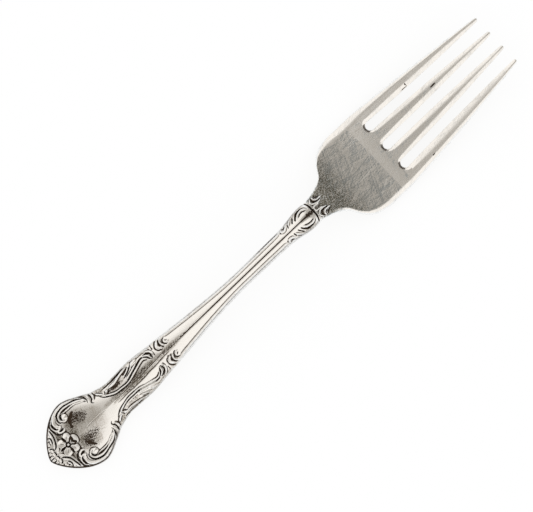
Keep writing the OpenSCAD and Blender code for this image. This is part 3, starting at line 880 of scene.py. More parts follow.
@dataclass(frozen=True)
class LeafPanel(Ornament):
    """Acanthus leaf along each side of the shank."""

    ridge_w: float = 0.4
    ridge_h: float = 0.28
    cut_w: float = 0.26
    cut_h: float = -0.2
    vein: float = 0.95
    spine_w: float = 0.42
    spine_h: float = 0.07
    line_w: float = 0.24
    line_h: float = -0.06

    def marks(self) -> list[Mark]:
        """The ridge, the blades and the curled end of the leaf, and the cuts between them."""
        return [
            self.ridge(((15.2, 1.98), (16, 1.52), (17, 1.2), (18, 1.05), (19, 1.0), (20, 1.08),
                        (21, 1.32), (22, 1.6), (23, 1.9), (23.7, 2.05), (24.3, 2.06), (24.9, 1.8),
                        (25.2, 1.4)), grow=0.05, fade=0.08),
            self.cut(((14.2, 2.4), (15, 1.78), (16, 1.28), (17, 0.98), (18, 0.82), (19.4, 0.8),
                      (20.5, 0.9))),
            self.cut(((16.2, 1.78), (17, 1.46), (18, 1.28), (19.4, 1.26), (20.5, 1.4), (21.5, 1.68),
                      (22.5, 2.02), (23.3, 2.32), (24, 2.4), (24.6, 2.2), (25.1, 1.8), (25.4, 1.3),
                      (25.7, 0.95)), taper=1.3),
            self.ridge(((13.95, 3.2), (14.5, 2.7), (15.0, 2.35))),
            self.cut(((15.55, 2.7), (15.45, 2.4), (15.2, 2.1)), 0.85),
            self.knob((15.85, 2.42), 0.32, 0.28, 0),
            self.cut(((16.05, 1.95), (16.15, 2.3), (16.45, 2.42)), 0.8),
            self.ridge(((19.8, 1.62), (21, 1.86), (22, 2.14), (23, 2.5)), high=0.9),
            self.cut(((19.7, 2.0), (20.5, 2.25), (21.3, 2.55), (22.1, 2.97))),
            self.ridge(((20.0, 2.3), (20.8, 2.6), (21.5, 2.95)), self.vein),
            self.ridge(((16.4, 2.56), (18, 2.62), (19, 2.8), (20, 3.02), (21, 3.15)), high=0.9),
            self.knob((22.7, 2.82), 0.85, 0.34, 10),
            self.cut(((15.3, 3.2), (16.5, 3.06), (18, 3.06), (19.3, 3.2), (20.6, 3.36))),
            self.ridge(((22.3, 3.3), (24, 3.12), (25.4, 2.95), (26.4, 2.7)), high=0.7),
            self.ridge(((24.3, 2.3), (25.2, 2.1), (25.65, 1.6), (25.62, 1.1)), self.vein, grow=0.3),
            self.cut(((24.8, 2.48), (25.55, 2.28), (26.0, 1.8), (25.97, 1.2), (25.85, 0.85)), grow=0.3),
            self.ridge(((25.2, 2.75), (26.0, 2.4), (26.4, 1.7), (26.3, 1.0)), grow=0.3),
            self.cut(((26.8, 2.05), (26.84, 3.2)), end_share=1),
            Stroke(((15.5, 0), (20, 0), (24, 0), (28.5, 0)),
                   self.spine_w, self.spine_h, grow=0.2, fade=0.2),
            Stroke(((16, 0.33), (20, 0.33), (24, 0.32), (29, 0.26)),
                   self.line_w, self.line_h, grow=0.2, fade=0.2),
        ]

    def stains(self) -> list[Stain]:
        """Tarnish beside the spine and between the blades, darker on one side."""
        return stained(
            (17.6, 1.78, 2.2, 0.5, -3, 0.8), (20.2, 2.46, 0.9, 0.22, 24, 1.0),
            (18.6, 3.12, 2.3, 0.14, 5, 0.9), (23.8, 2.16, 0.5, 0.17, 10, 0.8),
            (18.6, -2.02, 1.5, 0.18, 0, 0.6), (20.5, 0.4, 5.5, 0.45, 0, 0.5),
            (23.2, 0.55, 1.5, 0.32, 0, 0.56), (19.2, -0.42, 2.3, 0.2, 0, 0.52),
            (22.0, -0.34, 1.0, 0.16, 0, 0.7),
        )

    def rubbed(self) -> list[Stain]:
        """The outer half of the right leaf, which the fingers keep clean."""
        return stained(
            (21.6, -2.4, 3.4, 1.5, -6, 0.62), (26.2, -3.0, 2.6, 0.6, 0, 0.5),
        )

    def patches(self) -> list[Stain]:
        """Film beside the spine, at the blades and along the rim."""
        return stained(
            (20.8, 0.42, 8.0, 0.75, 0, 1.0), (21.5, -0.38, 7.0, 0.42, 0, 1.0),
            (14.8, 3.1, 1.0, 0.6, -35, 0.9), (14.8, -3.2, 1.0, 0.6, 35, 0.8),
            (17.6, 2.0, 2.6, 0.9, 0, 0.8), (18.0, -2.3, 2.4, 0.5, 0, 0.5),
            (24.2, 2.9, 2.4, 0.4, -8, 0.7), (24.5, -3.0, 2.2, 0.3, 5, 0.5),
        )


@dataclass(frozen=True)
class StemMoulding(Ornament):
    """Small C-scrolls, the bead along each edge and the groove along the middle."""

    ridge_w: float = 0.4
    ridge_h: float = 0.28
    cut_w: float = 0.3
    cut_h: float = -0.22
    bead_w: float = 0.46
    bead_h: float = 0.13
    middle_w: float = 0.4
    middle_h: float = -0.12
    field_h: float = -0.05
    stop_w: float = 0.26
    stop_h: float = -0.2

    def marks(self) -> list[Mark]:
        """The scrolls, the bead that grows out of them and the lines along the middle.

        Returns:
            The marks of the stem.
        """
        blank = self.blank
        share = Knots(((30, 0.83), (38, 0.74), (blank.slim, 0.65), (blank.neck_start, 0.66)))
        run = np.array([30.6, 33.5, 37, 41, 45, 49, 53, 56.9])
        edge = np.round(blank.half_width(run) * share(run), 3)
        curl = ((28.9, 1.1), (28.6, 1.5), (28.6, 2.0), (28.95, 2.38))
        bead = (*curl, (29.7, 2.46), *zip(run, edge))
        middle = ((blank.stem_start + 2.5, 0), (blank.slim, 0), (blank.collar - 0.6, 0))
        return [
            self.cut(((27.75, 0.83), (27.35, 1.2), (27.25, 1.75), (27.45, 2.25), (27.95, 2.7),
                      (28.55, 2.85)), 1.1),
            self.ridge(((28.3, 1.0), (27.88, 1.35), (27.82, 1.85), (28.2, 2.35))),
            self.cut(((28.4, 1.4), (28.22, 1.85), (28.42, 2.3), (28.75, 2.52))),
            self.ridge(curl, 0.9),
            self.cut(((29.6, 0.9), (29.2, 1.1), (29.02, 1.55), (29.2, 2.0), (29.7, 2.2))),
            self.cut(((29.5, 1.72), (29.62, 1.52), (29.9, 1.5)), 0.7, 0.7),
            self.knob((29.75, 1.3), 0.4, 0.22, 0, 0.35),
            Stroke(bead, self.bead_w, self.bead_h, grow=0.04, fade=0.03),
            Stroke(middle, self.middle_w, self.middle_h, grow=0.3, fade=0.05),
            Stroke(((8.9, 0), (11, 0), (13.5, 0)), self.middle_w, self.field_h, grow=0.4, fade=0.4),
            Stroke(((57.05, 0.9), (57.05, 1.5)), self.stop_w, self.stop_h, end_share=1),
        ]

    def stains(self) -> list[Stain]:
        """Tarnish along the middle line and in one groove beside the bead."""
        return stained(
            (29.0, 0.05, 2.6, 0.4, 0, 0.5), (33.0, 0.1, 4.0, 0.22, 0, 0.5),
            (54.0, 1.36, 3.8, 0.14, 1, 1.0),
        )

    def patches(self) -> list[Stain]:
        """Film at the start of the middle line."""
        return stained(
            (29.0, 0.1, 4.5, 0.7, 0, 0.7),
        )


@dataclass(frozen=True)
class NeckOrnament(Ornament):
    """Leaf scroll at the neck, the groove before the palm and the scrolls behind it."""

    ridge_w: float = 0.46
    ridge_h: float = 0.2
    cut_w: float = 0.27
    cut_h: float = -0.16
    notch_w: float = 0.26
    groove_h: float = -0.3
    hollow_w: float = 1.0
    band_w: float = 0.34
    scroll_w: float = 0.36

    def marks(self) -> list[Mark]:
        """The marks of the neck and of the shoulder."""
        return [
            self.ridge(((57.0, 1.45), (57.15, 1.05), (57.65, 0.82), (58.2, 0.95), (58.6, 1.25)), 0.85),
            self.cut(((57.4, 1.45), (57.8, 1.2), (58.3, 1.4)), 0.8),
            self.ridge(((58.8, 0.75), (59.5, 1.38), (60.4, 1.85), (61.5, 2.02), (62.6, 1.95),
                        (63.25, 1.5), (63.4, 0.9))),
            self.cut(((59.7, 0.75), (60.3, 1.5)), deep=1.2, end_share=0.8),
            self.cut(((60.35, 0.75), (60.75, 1.3), (61.3, 1.66), (62.4, 1.7)),
                     1.3, 1.3, grow=0.05, fade=0.5),
            Stroke(((58.7, 0.7), (58.88, 1.15)), self.notch_w, self.cut_h, end_share=1),
            Stroke(((60.2, 0.0), (62.0, 0.0), (63.8, 0.0)),
                   self.hollow_w, 0.8 * self.cut_h, end_share=0.2, grow=0.98, fade=0.02),
            self.ridge(((60.85, 0.85), (61.35, 1.32), (62.1, 1.46), (62.9, 1.3), (63.2, 0.9)), 0.9),
            self.cut(((61.2, 0.85), (61.7, 1.12), (62.3, 1.14), (62.8, 0.95)), 0.85),
            Stroke(((63.3, 2.3), (63.65, 1.7), (63.88, 0.9), (63.9, 0.0)),
                   self.notch_w, self.groove_h, grow=0.1, fade=0.1, end_share=0.8, taper=1.6),
            Stroke(((64.15, 1.9), (64.2, 1.2), (64.2, 0.5), (64.22, 0.0)),
                   self.band_w, 0.4 * self.ridge_h, end_share=0.8),
            Stroke(((64.25, 0.0), (64.35, 0.32), (64.75, 0.46), (65.6, 0.46)),
                   self.scroll_w, self.ridge_h),
            Stroke(((64.75, 1.95), (64.42, 1.45), (64.5, 1.0), (65.0, 0.72), (65.7, 0.68), (66.4, 0.8)),
                   self.scroll_w, self.ridge_h),
            self.cut(((64.95, 1.65), (64.85, 1.25), (65.2, 0.98), (65.9, 0.92), (66.5, 1.05)), 1.1),
            Stroke(((65.25, 2.0), (65.25, 1.55), (65.6, 1.2), (66.2, 1.14), (66.8, 1.25)),
                   self.scroll_w, self.ridge_h),
            self.cut(((65.65, 2.0), (65.9, 1.6), (66.6, 1.48))),
        ]

    def stains(self) -> list[Stain]:
        """Tarnish in the hollow before the groove and between the scrolls."""
        return stained(
            (63.1, 0.0, 1.6, 0.6, 0, 0.75), (65.1, 0.0, 0.75, 0.3, 0, 0.7),
            (65.4, 1.45, 1.1, 0.8, 0, 0.6), (65.4, -1.45, 1.1, 0.8, 0, 0.5),
        )


@dataclass(frozen=True)
class Wear(Marking):
    """Nicks that use has left on the tines, and scratches on the palm."""

    groove_h: float = -0.022

    def stains(self) -> list[Stain]:
        """Dark places of the nicks."""
        return stained(
            (90.5, 5.14, 1.1, 0.1, -3, 0.95), (91.2, 5.42, 0.18, 0.5, 0, 0.9),
            (94.6, 2.0, 0.95, 0.22, 0, 0.95), (86.4, -7.0, 0.4, 0.16, 20, 1.0),
        )

    def bare(self) -> list[Stain]:
        """Single scratches on the palm where the film is gone."""
        return stained(
            (75.0, -1.45, 2.6, 0.22, 3, 1.0), (74.2, 1.1, 1.5, 0.11, 22, 0.9),
            (73.0, 2.0, 1.2, 0.11, 60, 0.8), (76.6, -4.9, 1.3, 0.12, 32, 0.9),
            (75.4, -5.6, 1.0, 0.11, 24, 0.8), (77.4, -5.4, 0.8, 0.1, 40, 0.9),
            (72.0, 3.6, 1.0, 0.1, -18, 0.8), (71.0, -2.9, 1.1, 0.1, 15, 0.8),
            (76.9, 3.4, 1.4, 0.1, 48, 0.7), (73.8, -3.3, 0.9, 0.1, -35, 0.7),
        )

    def single(self) -> list[Mark]:
        """The same scratches as shallow grooves."""
        return [Stroke(scratch.ends(), 2 * scratch.wide, self.groove_h) for scratch in self.bare()]


def put_in_scene(name: str, data: bpy.types.ID) -> bpy.types.Object:
    """Makes an object of some data and links it to the scene.

    Args:
        name: The object's name.
        data: Its mesh or camera.
    Returns:
        The object.
    """
    item = bpy.data.objects.new(name, data)
    bpy.context.scene.collection.objects.link(item)
    return item


@dataclass
class Skin:
    """A closed skin over rings that start with their face, which alone has dirt, stain and film; on the
    handle the dirt layer also holds a painted shade line and the film layer a painted shade band along the
    rim.
    """

    name: str
    rings: Grid
    crevice_and_rim_shade: Grid
    stain: Grid
    film: Grid

    def build(self) -> bpy.types.Object:
        """Makes the mesh object.

        Returns:
            The object, in metres in the shared frame.
        """
        rows, m, _ = self.rings.shape
        k, i = np.meshgrid(np.arange(rows - 1), np.arange(m), indexing="ij")
        a, b = k * m + i, k * m + (i + 1) % m
        sides = np.stack([a, a + m, b + m, b], -1).reshape(-1, 4).tolist()
        start = list(range(m))
        finish = list(range(rows * m - 1, (rows - 1) * m - 1, -1))
        mesh = bpy.data.meshes.new(self.name)
        mesh.from_pydata((self.rings.reshape(-1, 3) * MM).tolist(), [], sides + [start, finish])
        mesh.polygons.foreach_set("use_smooth", np.ones(len(mesh.polygons), bool))
        ends = np.empty(2 * len(mesh.edges), int)
        mesh.edges.foreach_get("vertices", ends)
        ends = ends.reshape(-1, 2)
        rim = (ends < m).all(1) | (ends >= (rows - 1) * m).all(1)
        sharp = mesh.attributes.new("sharp_edge", "BOOLEAN", "EDGE")
        sharp.data.foreach_set("value", rim)
        for label in LAYERS:
            values = np.zeros((rows, m), np.float32)
            face = getattr(self, label)
            values[:, :face.shape[1]] = face
            layer = mesh.attributes.new(label, "FLOAT", "POINT")
            layer.data.foreach_set("value", values.reshape(-1))
        mesh.update()
        return put_in_scene(self.name, mesh)


@dataclass(frozen=True)
class Face:
    """The upper face of a zone on its grid, with some rows to spare at both ends."""

    s: Grid
    y: Grid
    z: Grid
    lift: Grid
    flat: Grid
    room: Grid


@dataclass
class HandleZone:
    """A stretch of the blank behind the slots, with its share of the relief."""

    blank: Blank
    relief: Relief
    name: str
    start: float
    end: float
    rows: int
    across: int
    under: int
    nodes: tuple[str, ...]
    slot: Slot
    spare: int = 12
    ease: float = 0.45
    least: float = 1e-3
    first_row: float = 0.03
    nose_round: float = 0.6
    rim_power: float = 24
    crown_power: float = 3
    plain_from: Span = (1, 8)
    tip_room: float = 0.05
    dirt_spread: float = 0.2
    dirt_depth: float = 0.055
    # Depth of the painted shade line along the handle's rim.
    dirt_room: Span = (0.08, 0.3)
    rim_shade_depth: float = 0.9
    rim_from: Span = (0.03, 0.1)
    rim_to: Span = (0.26, 0.5)
    rim_end: Span = (-0.5, 1.5)
    stain_lift: Span = (0.05, 0.2)
    stain_room: Span = (0.05, 0.14)
    film_flat: Span = (0.5, 1)
    film_lift: Span = (0.04, 0.15)
    film_room: Span = (0.05, 0.3)
    # How far in from the rim the painted shade band reaches.
    rim_shade_reach: Span = (0.3, 0.75)
    # Strength of that painted shade line, by station.
    rim_line: Knots = Knots((
        (4, 1), (6, 0.75), (9, 0.6), (12, 0.55), (14, 0.2), (16, 0), (57, 0), (58.5, 0.5), (62.5, 0.5),
        (64, 0.3), (66, 0),
    ))
    # Strength of the painted shade band along the rim, by station.
    rim_shade_band: Knots = Knots((
        (1, 0.05), (6, 0.12), (12, 0.25), (15, 0.62), (20, 0.6), (24, 0.5), (27, 0.3), (30, 0.15),
        (56, 0.15), (59, 0.3), (62, 0.2), (64, 0),
    ))

    @property
    def step(self) -> float:
        """Distance from row to row."""
        return (self.end - self.start) / self.rows

    def _nose(self, s: Grid) -> Grid:
        """Share of the full thickness behind the rounded tip."""
        return np.sqrt(1 - (1 - np.clip(s / self.nose_round, 0, 1)) ** 2)

    @cached_property
    def face(self) -> Face:
        """The upper face.

        Returns:
            Stations, offsets, heights, relief, share of flat and distance from the rim on the grid.
        """
        blank = self.blank
        rows = self.start + self.step * np.arange(-self.spare, self.rows + self.spare + 1)
        s = np.maximum(rows, self.least)
        u = columns(self.across, self.ease)
        half = blank.half_width(s)
        y = half[:, None] * u
        grid = np.broadcast_to(s[:, None], y.shape)
        nose = self._nose(s)[:, None]
        lift = self.relief.height(grid, y) * (1 - np.abs(u) ** self.rim_power) * nose
        rounded = swell(u[None, :], blank.edge(s)[:, None])
        left, right = (blank.bevels[side](s)[:, None] for side in Side)
        flat = np.clip((half[:, None] - np.abs(y)) / np.where(u > 0, left, right), 0, 1)
        slot = blank.slot_edge(grid, y)
        plain = smooth(*(blank.collar + way for way in self.plain_from), s)[:, None]
        top = rounded * (1 - plain) + (1 - blank.fall(flat, slot)) * plain
        crown = blank.crown(s)[:, None] * (1 - np.abs(u)) * swell(u, self.crown_power)
        z = blank.middle(grid, y) + (blank.thick(s)[:, None] / 2 * top + crown) * nose + lift
        slant = np.hypot(1, np.gradient(half, rows))
        room = np.minimum((half / slant)[:, None] * (1 - np.abs(u)), rows[:, None] + self.tip_room)
        flat = np.maximum(np.minimum(flat, slot), 1 - plain)
        return Face(np.broadcast_to(rows[:, None], y.shape), y, z, lift, flat, room)

    def _crevice_and_rim_shade(self) -> Grid:
        """Dirt in the cuts and in the slot roots, and a painted shade line along the rim of the handle.

        Returns:
            How dark each place is, from 0 to 1.
        """
        blank, face = self.blank, self.face
        cell = 2 * blank.half_width(np.array([(self.start + self.end) / 2]))[0] / self.across
        soft = blur(blur(face.lift, self.dirt_spread / self.step, 0), self.dirt_spread / cell, 1)
        cuts = np.clip((soft - face.lift) / self.dirt_depth, 0, 1) * smooth(*self.dirt_room, face.room)
        cuts = cuts * (1 - self.relief.polished(face.s, face.y))
        # Painted shade: a dark line a little inside the handle's rim, standing for the rim's shadow and dark
        # reflection.
        rim = smooth(*self.rim_from, face.room) * (1 - smooth(*self.rim_to, face.room))
        handle = 1 - smooth(*(blank.collar + way for way in self.rim_end), face.s)
        line = self.rim_shade_depth * (rim * self.rim_line(face.s)) * handle
        return np.max([cuts, line, blank.slot_dirt(face.s, face.y)], axis=0)

    def _stain(self) -> Grid:
        """Tarnish on the low ground, away from the rim."""
        face = self.face
        low = (1 - smooth(*self.stain_lift, face.lift)) * smooth(*self.stain_room, face.room)
        return self.relief.tarnish(face.s, face.y) * low

    def _film(self) -> Grid:
        """Thin brown film on the palm up to a band before the slots and in patches, and a band of painted
        shade in the film's colour along the rim.

        Returns:
            How thick the film is, from 0 to 1.
        """
        face, start, root = self.face, self.blank.collar, self.blank.slot_root
        along = Knots((
            (start - 0.2, 0), (start + 0.5, 1), (start + 3, 0.95), (start + 6, 0.68), (start + 9, 0.2),
            (root - 2.4, 0.13), (root - 2.2, 0.01), (root, 0.06),
        ))
        worn = smooth(*self.film_flat, face.flat) * (1 - smooth(*self.film_lift, face.lift))
        left = worn * (1 - self.relief.scratched(face.s, face.y)) * smooth(*self.film_room, face.room)
        film = np.maximum(along(face.s), self.relief.haze(face.s, face.y)) * left
        # Painted shade: the film's colour laid in a band along the rim, for the grey of the rounded rim.
        return np.maximum(film, self.rim_shade_band(face.s) * (1 - smooth(*self.rim_shade_reach, face.room)))

    def _underside(self, s: Grid) -> tuple[Grid, Grid]:
        """The plain underside.

        Args:
            s: Stations, one row each.
        Returns:
            Offsets and heights from the left edge to the right one.
        """
        blank = self.blank
        v = columns(self.under, self.ease)[::-1][1:-1]
        y = blank.half_width(s)[:, None] * v
        grid = np.broadcast_to(s[:, None], y.shape)
        bulge = swell(v[None, :], blank.edge(s)[:, None]) * self._nose(s)[:, None]
        return y, np.maximum(blank.middle(grid, y) - blank.thick(s)[:, None] / 2 * bulge, 0)

    def skin(self) -> Skin:
        """The closed skin of the zone.

        Returns:
            The skin.
        """
        face = self.face
        keep = slice(self.spare, self.spare + self.rows + 1)
        s = np.maximum(face.s[keep, 0], self.first_row)
        low_y, low_z = self._underside(s)
        ys = np.concatenate([face.y[keep], low_y], 1)
        zs = np.concatenate([face.z[keep], low_z], 1)
        xs = np.broadcast_to(s[:, None] + self.blank.tip_x, ys.shape)
        layers = (layer[keep] for layer in (self._crevice_and_rim_shade(), self._stain(), self._film()))
        return Skin(self.name, np.stack([xs, ys, zs], -1), *layers)


@dataclass
class Tine:
    """One of the four tines, from the slot roots to its rounded point."""

    blank: Blank
    relief: Relief
    index: int
    film: float
    left_wider: float
    slot: Slot = Slot.HEAD
    count: int = 4
    rows: int = 220
    across: int = 37
    under: int = 17
    even_rows: float = 0.4
    ease: float = 0.5
    taper_power: float = 1.7
    back_power: float = 2.8
    point_round: float = 0.6
    point_share: float = 0.35
    least_bevel: float = 1e-3
    film_flat: Span = (0.6, 1)
    slot_bevel: Knots = Knots(((0, 0.5), (3, 0.68), (6, 0.8), (10, 0.87), (19, 0.85), (27.3, 0.25)))
    bevel_share: Knots = Knots(((0, 0.78), (10, 0.82), (20, 0.95), (27.3, 0.97)))
    film_left: Knots = Knots(((0, 1.0), (12, 0.9), (27.3, 0.0)))

    @property
    def name(self) -> str:
        """Name of the piece."""
        return f"tine_{self.index + 1}_dressed"

    @property
    def nodes(self) -> tuple[str, ...]:
        """The node that the piece stands for."""
        return (f"tine_{self.index + 1}",)

    @cached_property
    def run(self) -> Grid:
        """Distances of the rows from the slot roots, closer together at both ends."""
        f = np.linspace(0, 1, self.rows + 1)[:, None]
        eased = np.sin(f * math.pi / 2) ** 2
        return self.blank.tine_length * (self.even_rows * f + (1 - self.even_rows) * eased)

    @cached_property
    def shrink(self) -> Grid:
        """Share of the full section near the point."""
        near = np.clip((self.run - self.blank.tine_length + self.point_round) / self.point_round, 0, 1)
        return self.point_share + (1 - self.point_share) * np.sqrt(1 - near * near)

    @cached_property
    def edges(self) -> dict[Side, Grid]:
        """Offsets of the left and the right edge.

        Returns:
            One offset a row for each side.
        """
        blank, run, gaps, i = self.blank, self.run, self.count - 1, self.index
        tip = (blank.tip_span - blank.tine_tip_w) / gaps
        pitch = blank.root_pitch + (tip - blank.root_pitch) * run / blank.tine_length
        slim = (blank.tine_w - blank.tine_tip_w) * (run / blank.tine_length) ** self.taper_power
        half = (blank.tine_w - slim) / 2 * self.shrink
        left_to_round = np.maximum(0, blank.round_at - blank.slot_root - run)
        bow = np.sqrt(np.maximum(0, blank.round_r ** 2 - left_to_round ** 2))
        slot = np.where(left_to_round > 0, bow, pitch / 2 - half)
        outer = gaps / 2 * pitch + half
        right = -outer if i == 0 else (i - self.count / 2) * pitch + slot
        left = outer if i == gaps else (i + 1 - self.count / 2) * pitch - slot
        return {Side.LEFT: left, Side.RIGHT: right}

    @property
    def half(self) -> Grid:
        """Half width of each row."""
        return (self.edges[Side.LEFT] - self.edges[Side.RIGHT]) / 2

    def _slot_flat(self, room: Grid) -> Grid:
        """Share of the bevel along a slot: 0 at the edge, 1 on the flat.

        Args:
            room: Distances from the edge.
        Returns:
            Shares on the grid.
        """
        bevel = np.minimum(self.slot_bevel(self.run), self.bevel_share(self.run) * self.half)
        in_round = self.blank.slot_root + self.run < self.blank.round_at
        return np.clip(room / np.where(in_round, self.least_bevel, bevel), 0, 1)

    def _bevels(self, s: Grid, y: Grid) -> tuple[Grid, Grid]:
        """The bevels along both edges.

        Args:
            s: Stations.
            y: Offsets from the centre line.
        Returns:
            Shares of the outer bevel and of the slots' bevels, 1 on the flat.
        """
        blank = self.blank
        outer = {0: Side.RIGHT, self.count - 1: Side.LEFT}.get(self.index)
        flat, slot = np.ones(y.shape), np.where(s < blank.round_at, blank.slot_edge(s, y), 1)
        for side, edge in self.edges.items():
            room = edge - y if side is Side.LEFT else y - edge
            if side is outer:
                flat = np.clip(room / blank.bevels[side](s), 0, 1)
            else:
                wider = self.left_wider if side is Side.LEFT else 1.0
                slot = np.minimum(slot, self._slot_flat(room / wider))
        return flat, slot

    def skin(self) -> Skin:
        """The closed skin of the tine.

        Returns:
            The skin.
        """
        blank, middle = self.blank, (self.edges[Side.LEFT] + self.edges[Side.RIGHT]) / 2
        v, w = columns(self.across, self.ease), columns(self.under, 1)[::-1][1:-1]
        ys = middle + self.half * np.concatenate([v, w])
        s = np.broadcast_to(blank.slot_root + self.run, ys.shape)
        place = s[:, :self.across], ys[:, :self.across]
        flat, slot = self._bevels(*place)
        thick = blank.thick(blank.slot_root + self.run) * self.shrink / 2
        top, low = thick * (1 - blank.fall(flat, slot)), -thick * swell(w[None, :], self.back_power)
        zs = blank.middle(s, ys) + np.concatenate([top, low], 1)
        film = self.film * self.film_left(self.run) * smooth(*self.film_flat, np.minimum(flat, slot))
        rings = np.stack([s + blank.tip_x, ys, zs], -1)
        return Skin(self.name, rings, blank.slot_dirt(*place), self.relief.tarnish(*place), film)


class Value:
    """A shader value; writing an expression on it adds the Math nodes."""

    def __init__(self, shader: "Shader", socket: Socket) -> None:
        """Wraps a socket of the shader's tree."""
        self.shader = shader
        self.socket = socket

    def _math(self, operation: str, *others: Any, clamp: bool = False) -> "Value":
        """Adds a Math node on some values.

        Args:
            operation: The node's operation.
            others: Its inputs in order.
            clamp: Whether the result is held between 0 and 1.
        Returns:
            The result.
        """
        sockets = dict(enumerate(others))
        node = self.shader.node("ShaderNodeMath", {"operation": operation, "use_clamp": clamp}, sockets)
        return Value(self.shader, node.outputs[0])

    def __add__(self, other: "Value | float") -> "Value":
        """Sum."""
        return self._math("ADD", self, other)

    __radd__ = __add__

    def __sub__(self, other: "Value | float") -> "Value":
        """Difference."""
        return self._math("SUBTRACT", self, other)

    def __rsub__(self, other: "Value | float") -> "Value":
        """Difference, the other way round."""
        return self._math("SUBTRACT", other, self)

    def __mul__(self, other: "Value | float") -> "Value":
        """Product."""
        return self._math("MULTIPLY", self, other)

    __rmul__ = __mul__

    def __truediv__(self, other: "Value | float") -> "Value":
        """Quotient."""
        return self._math("DIVIDE", self, other)

    def __rtruediv__(self, other: "Value | float") -> "Value":
        """Quotient, the other way round."""
        return self._math("DIVIDE", other, self)

    def clamp(self) -> "Value":
        """The value held between 0 and 1."""
        return self._math("ADD", self, 0.0, clamp=True)

    def most(self, other: "Value | float") -> "Value":
        """The greater of two values."""
        return self._math("MAXIMUM", self, other)

    def step(self, low: float, high: float) -> "Value":
        """An eased step from 0 at low to 1 at high."""
        settings = {"interpolation_type": "SMOOTHSTEP"}
        sockets = {"Value": self, "From Min": low, "From Max": high}
        return self.shader.value("ShaderNodeMapRange", "Result", settings, sockets)


class Shader:
    """A node tree that is filled by one method."""

    def __init__(self, tree: bpy.types.NodeTree) -> None:
        """Empties the tree."""
        self.tree = tree
        tree.nodes.clear()

    def node(self, kind: str, settings: Inputs = None, sockets: Inputs = None) -> bpy.types.Node:
        """Adds a node.

        Args:
            kind: The node's type.
            settings: Its own settings, set first.
            sockets: Values, or links as wrapped values and sockets, by name or number.
        Returns:
            The node.
        """
        node = self.tree.nodes.new(kind)
        for key, value in (settings or {}).items():
            setattr(node, key, value)
        for key, value in (sockets or {}).items():
            if isinstance(value, Value):
                value = value.socket
            if isinstance(value, Socket):
                self.tree.links.new(value, node.inputs[key])
            else:
                node.inputs[key].default_value = value
        return node

    def value(self, kind: str, output: str, settings: Inputs = None, sockets: Inputs = None) -> Value:
        """Adds a node and wraps one of its outputs."""
        return Value(self, self.node(kind, settings, sockets).outputs[output])

    def mix(self, share: Value | float, first: Any, second: Any) -> Socket:
        """Mixes two colours.

        Args:
            share: How much of the second.
            first: Colour or link.
            second: Colour or link.
        Returns:
            The mixed colour.
        """
        settings = {"data_type": "RGBA", "clamp_factor": True}
        node = self.node("ShaderNodeMix", settings, {0: share, 6: first, 7: second})
        return node.outputs[2]


@dataclass(frozen=True)
class Noise:
    """A cloudy pattern in the metal."""

    scale: float
    detail: float
    roughness: float

    def value(self, shader: Shader, place: Socket) -> Value:
        """Adds the pattern to a shader."""
        sockets = {"Vector": place, "Scale": self.scale, "Detail": self.detail, "Roughness": self.roughness}
        return shader.value("ShaderNodeTexNoise", "Fac", None, sockets)


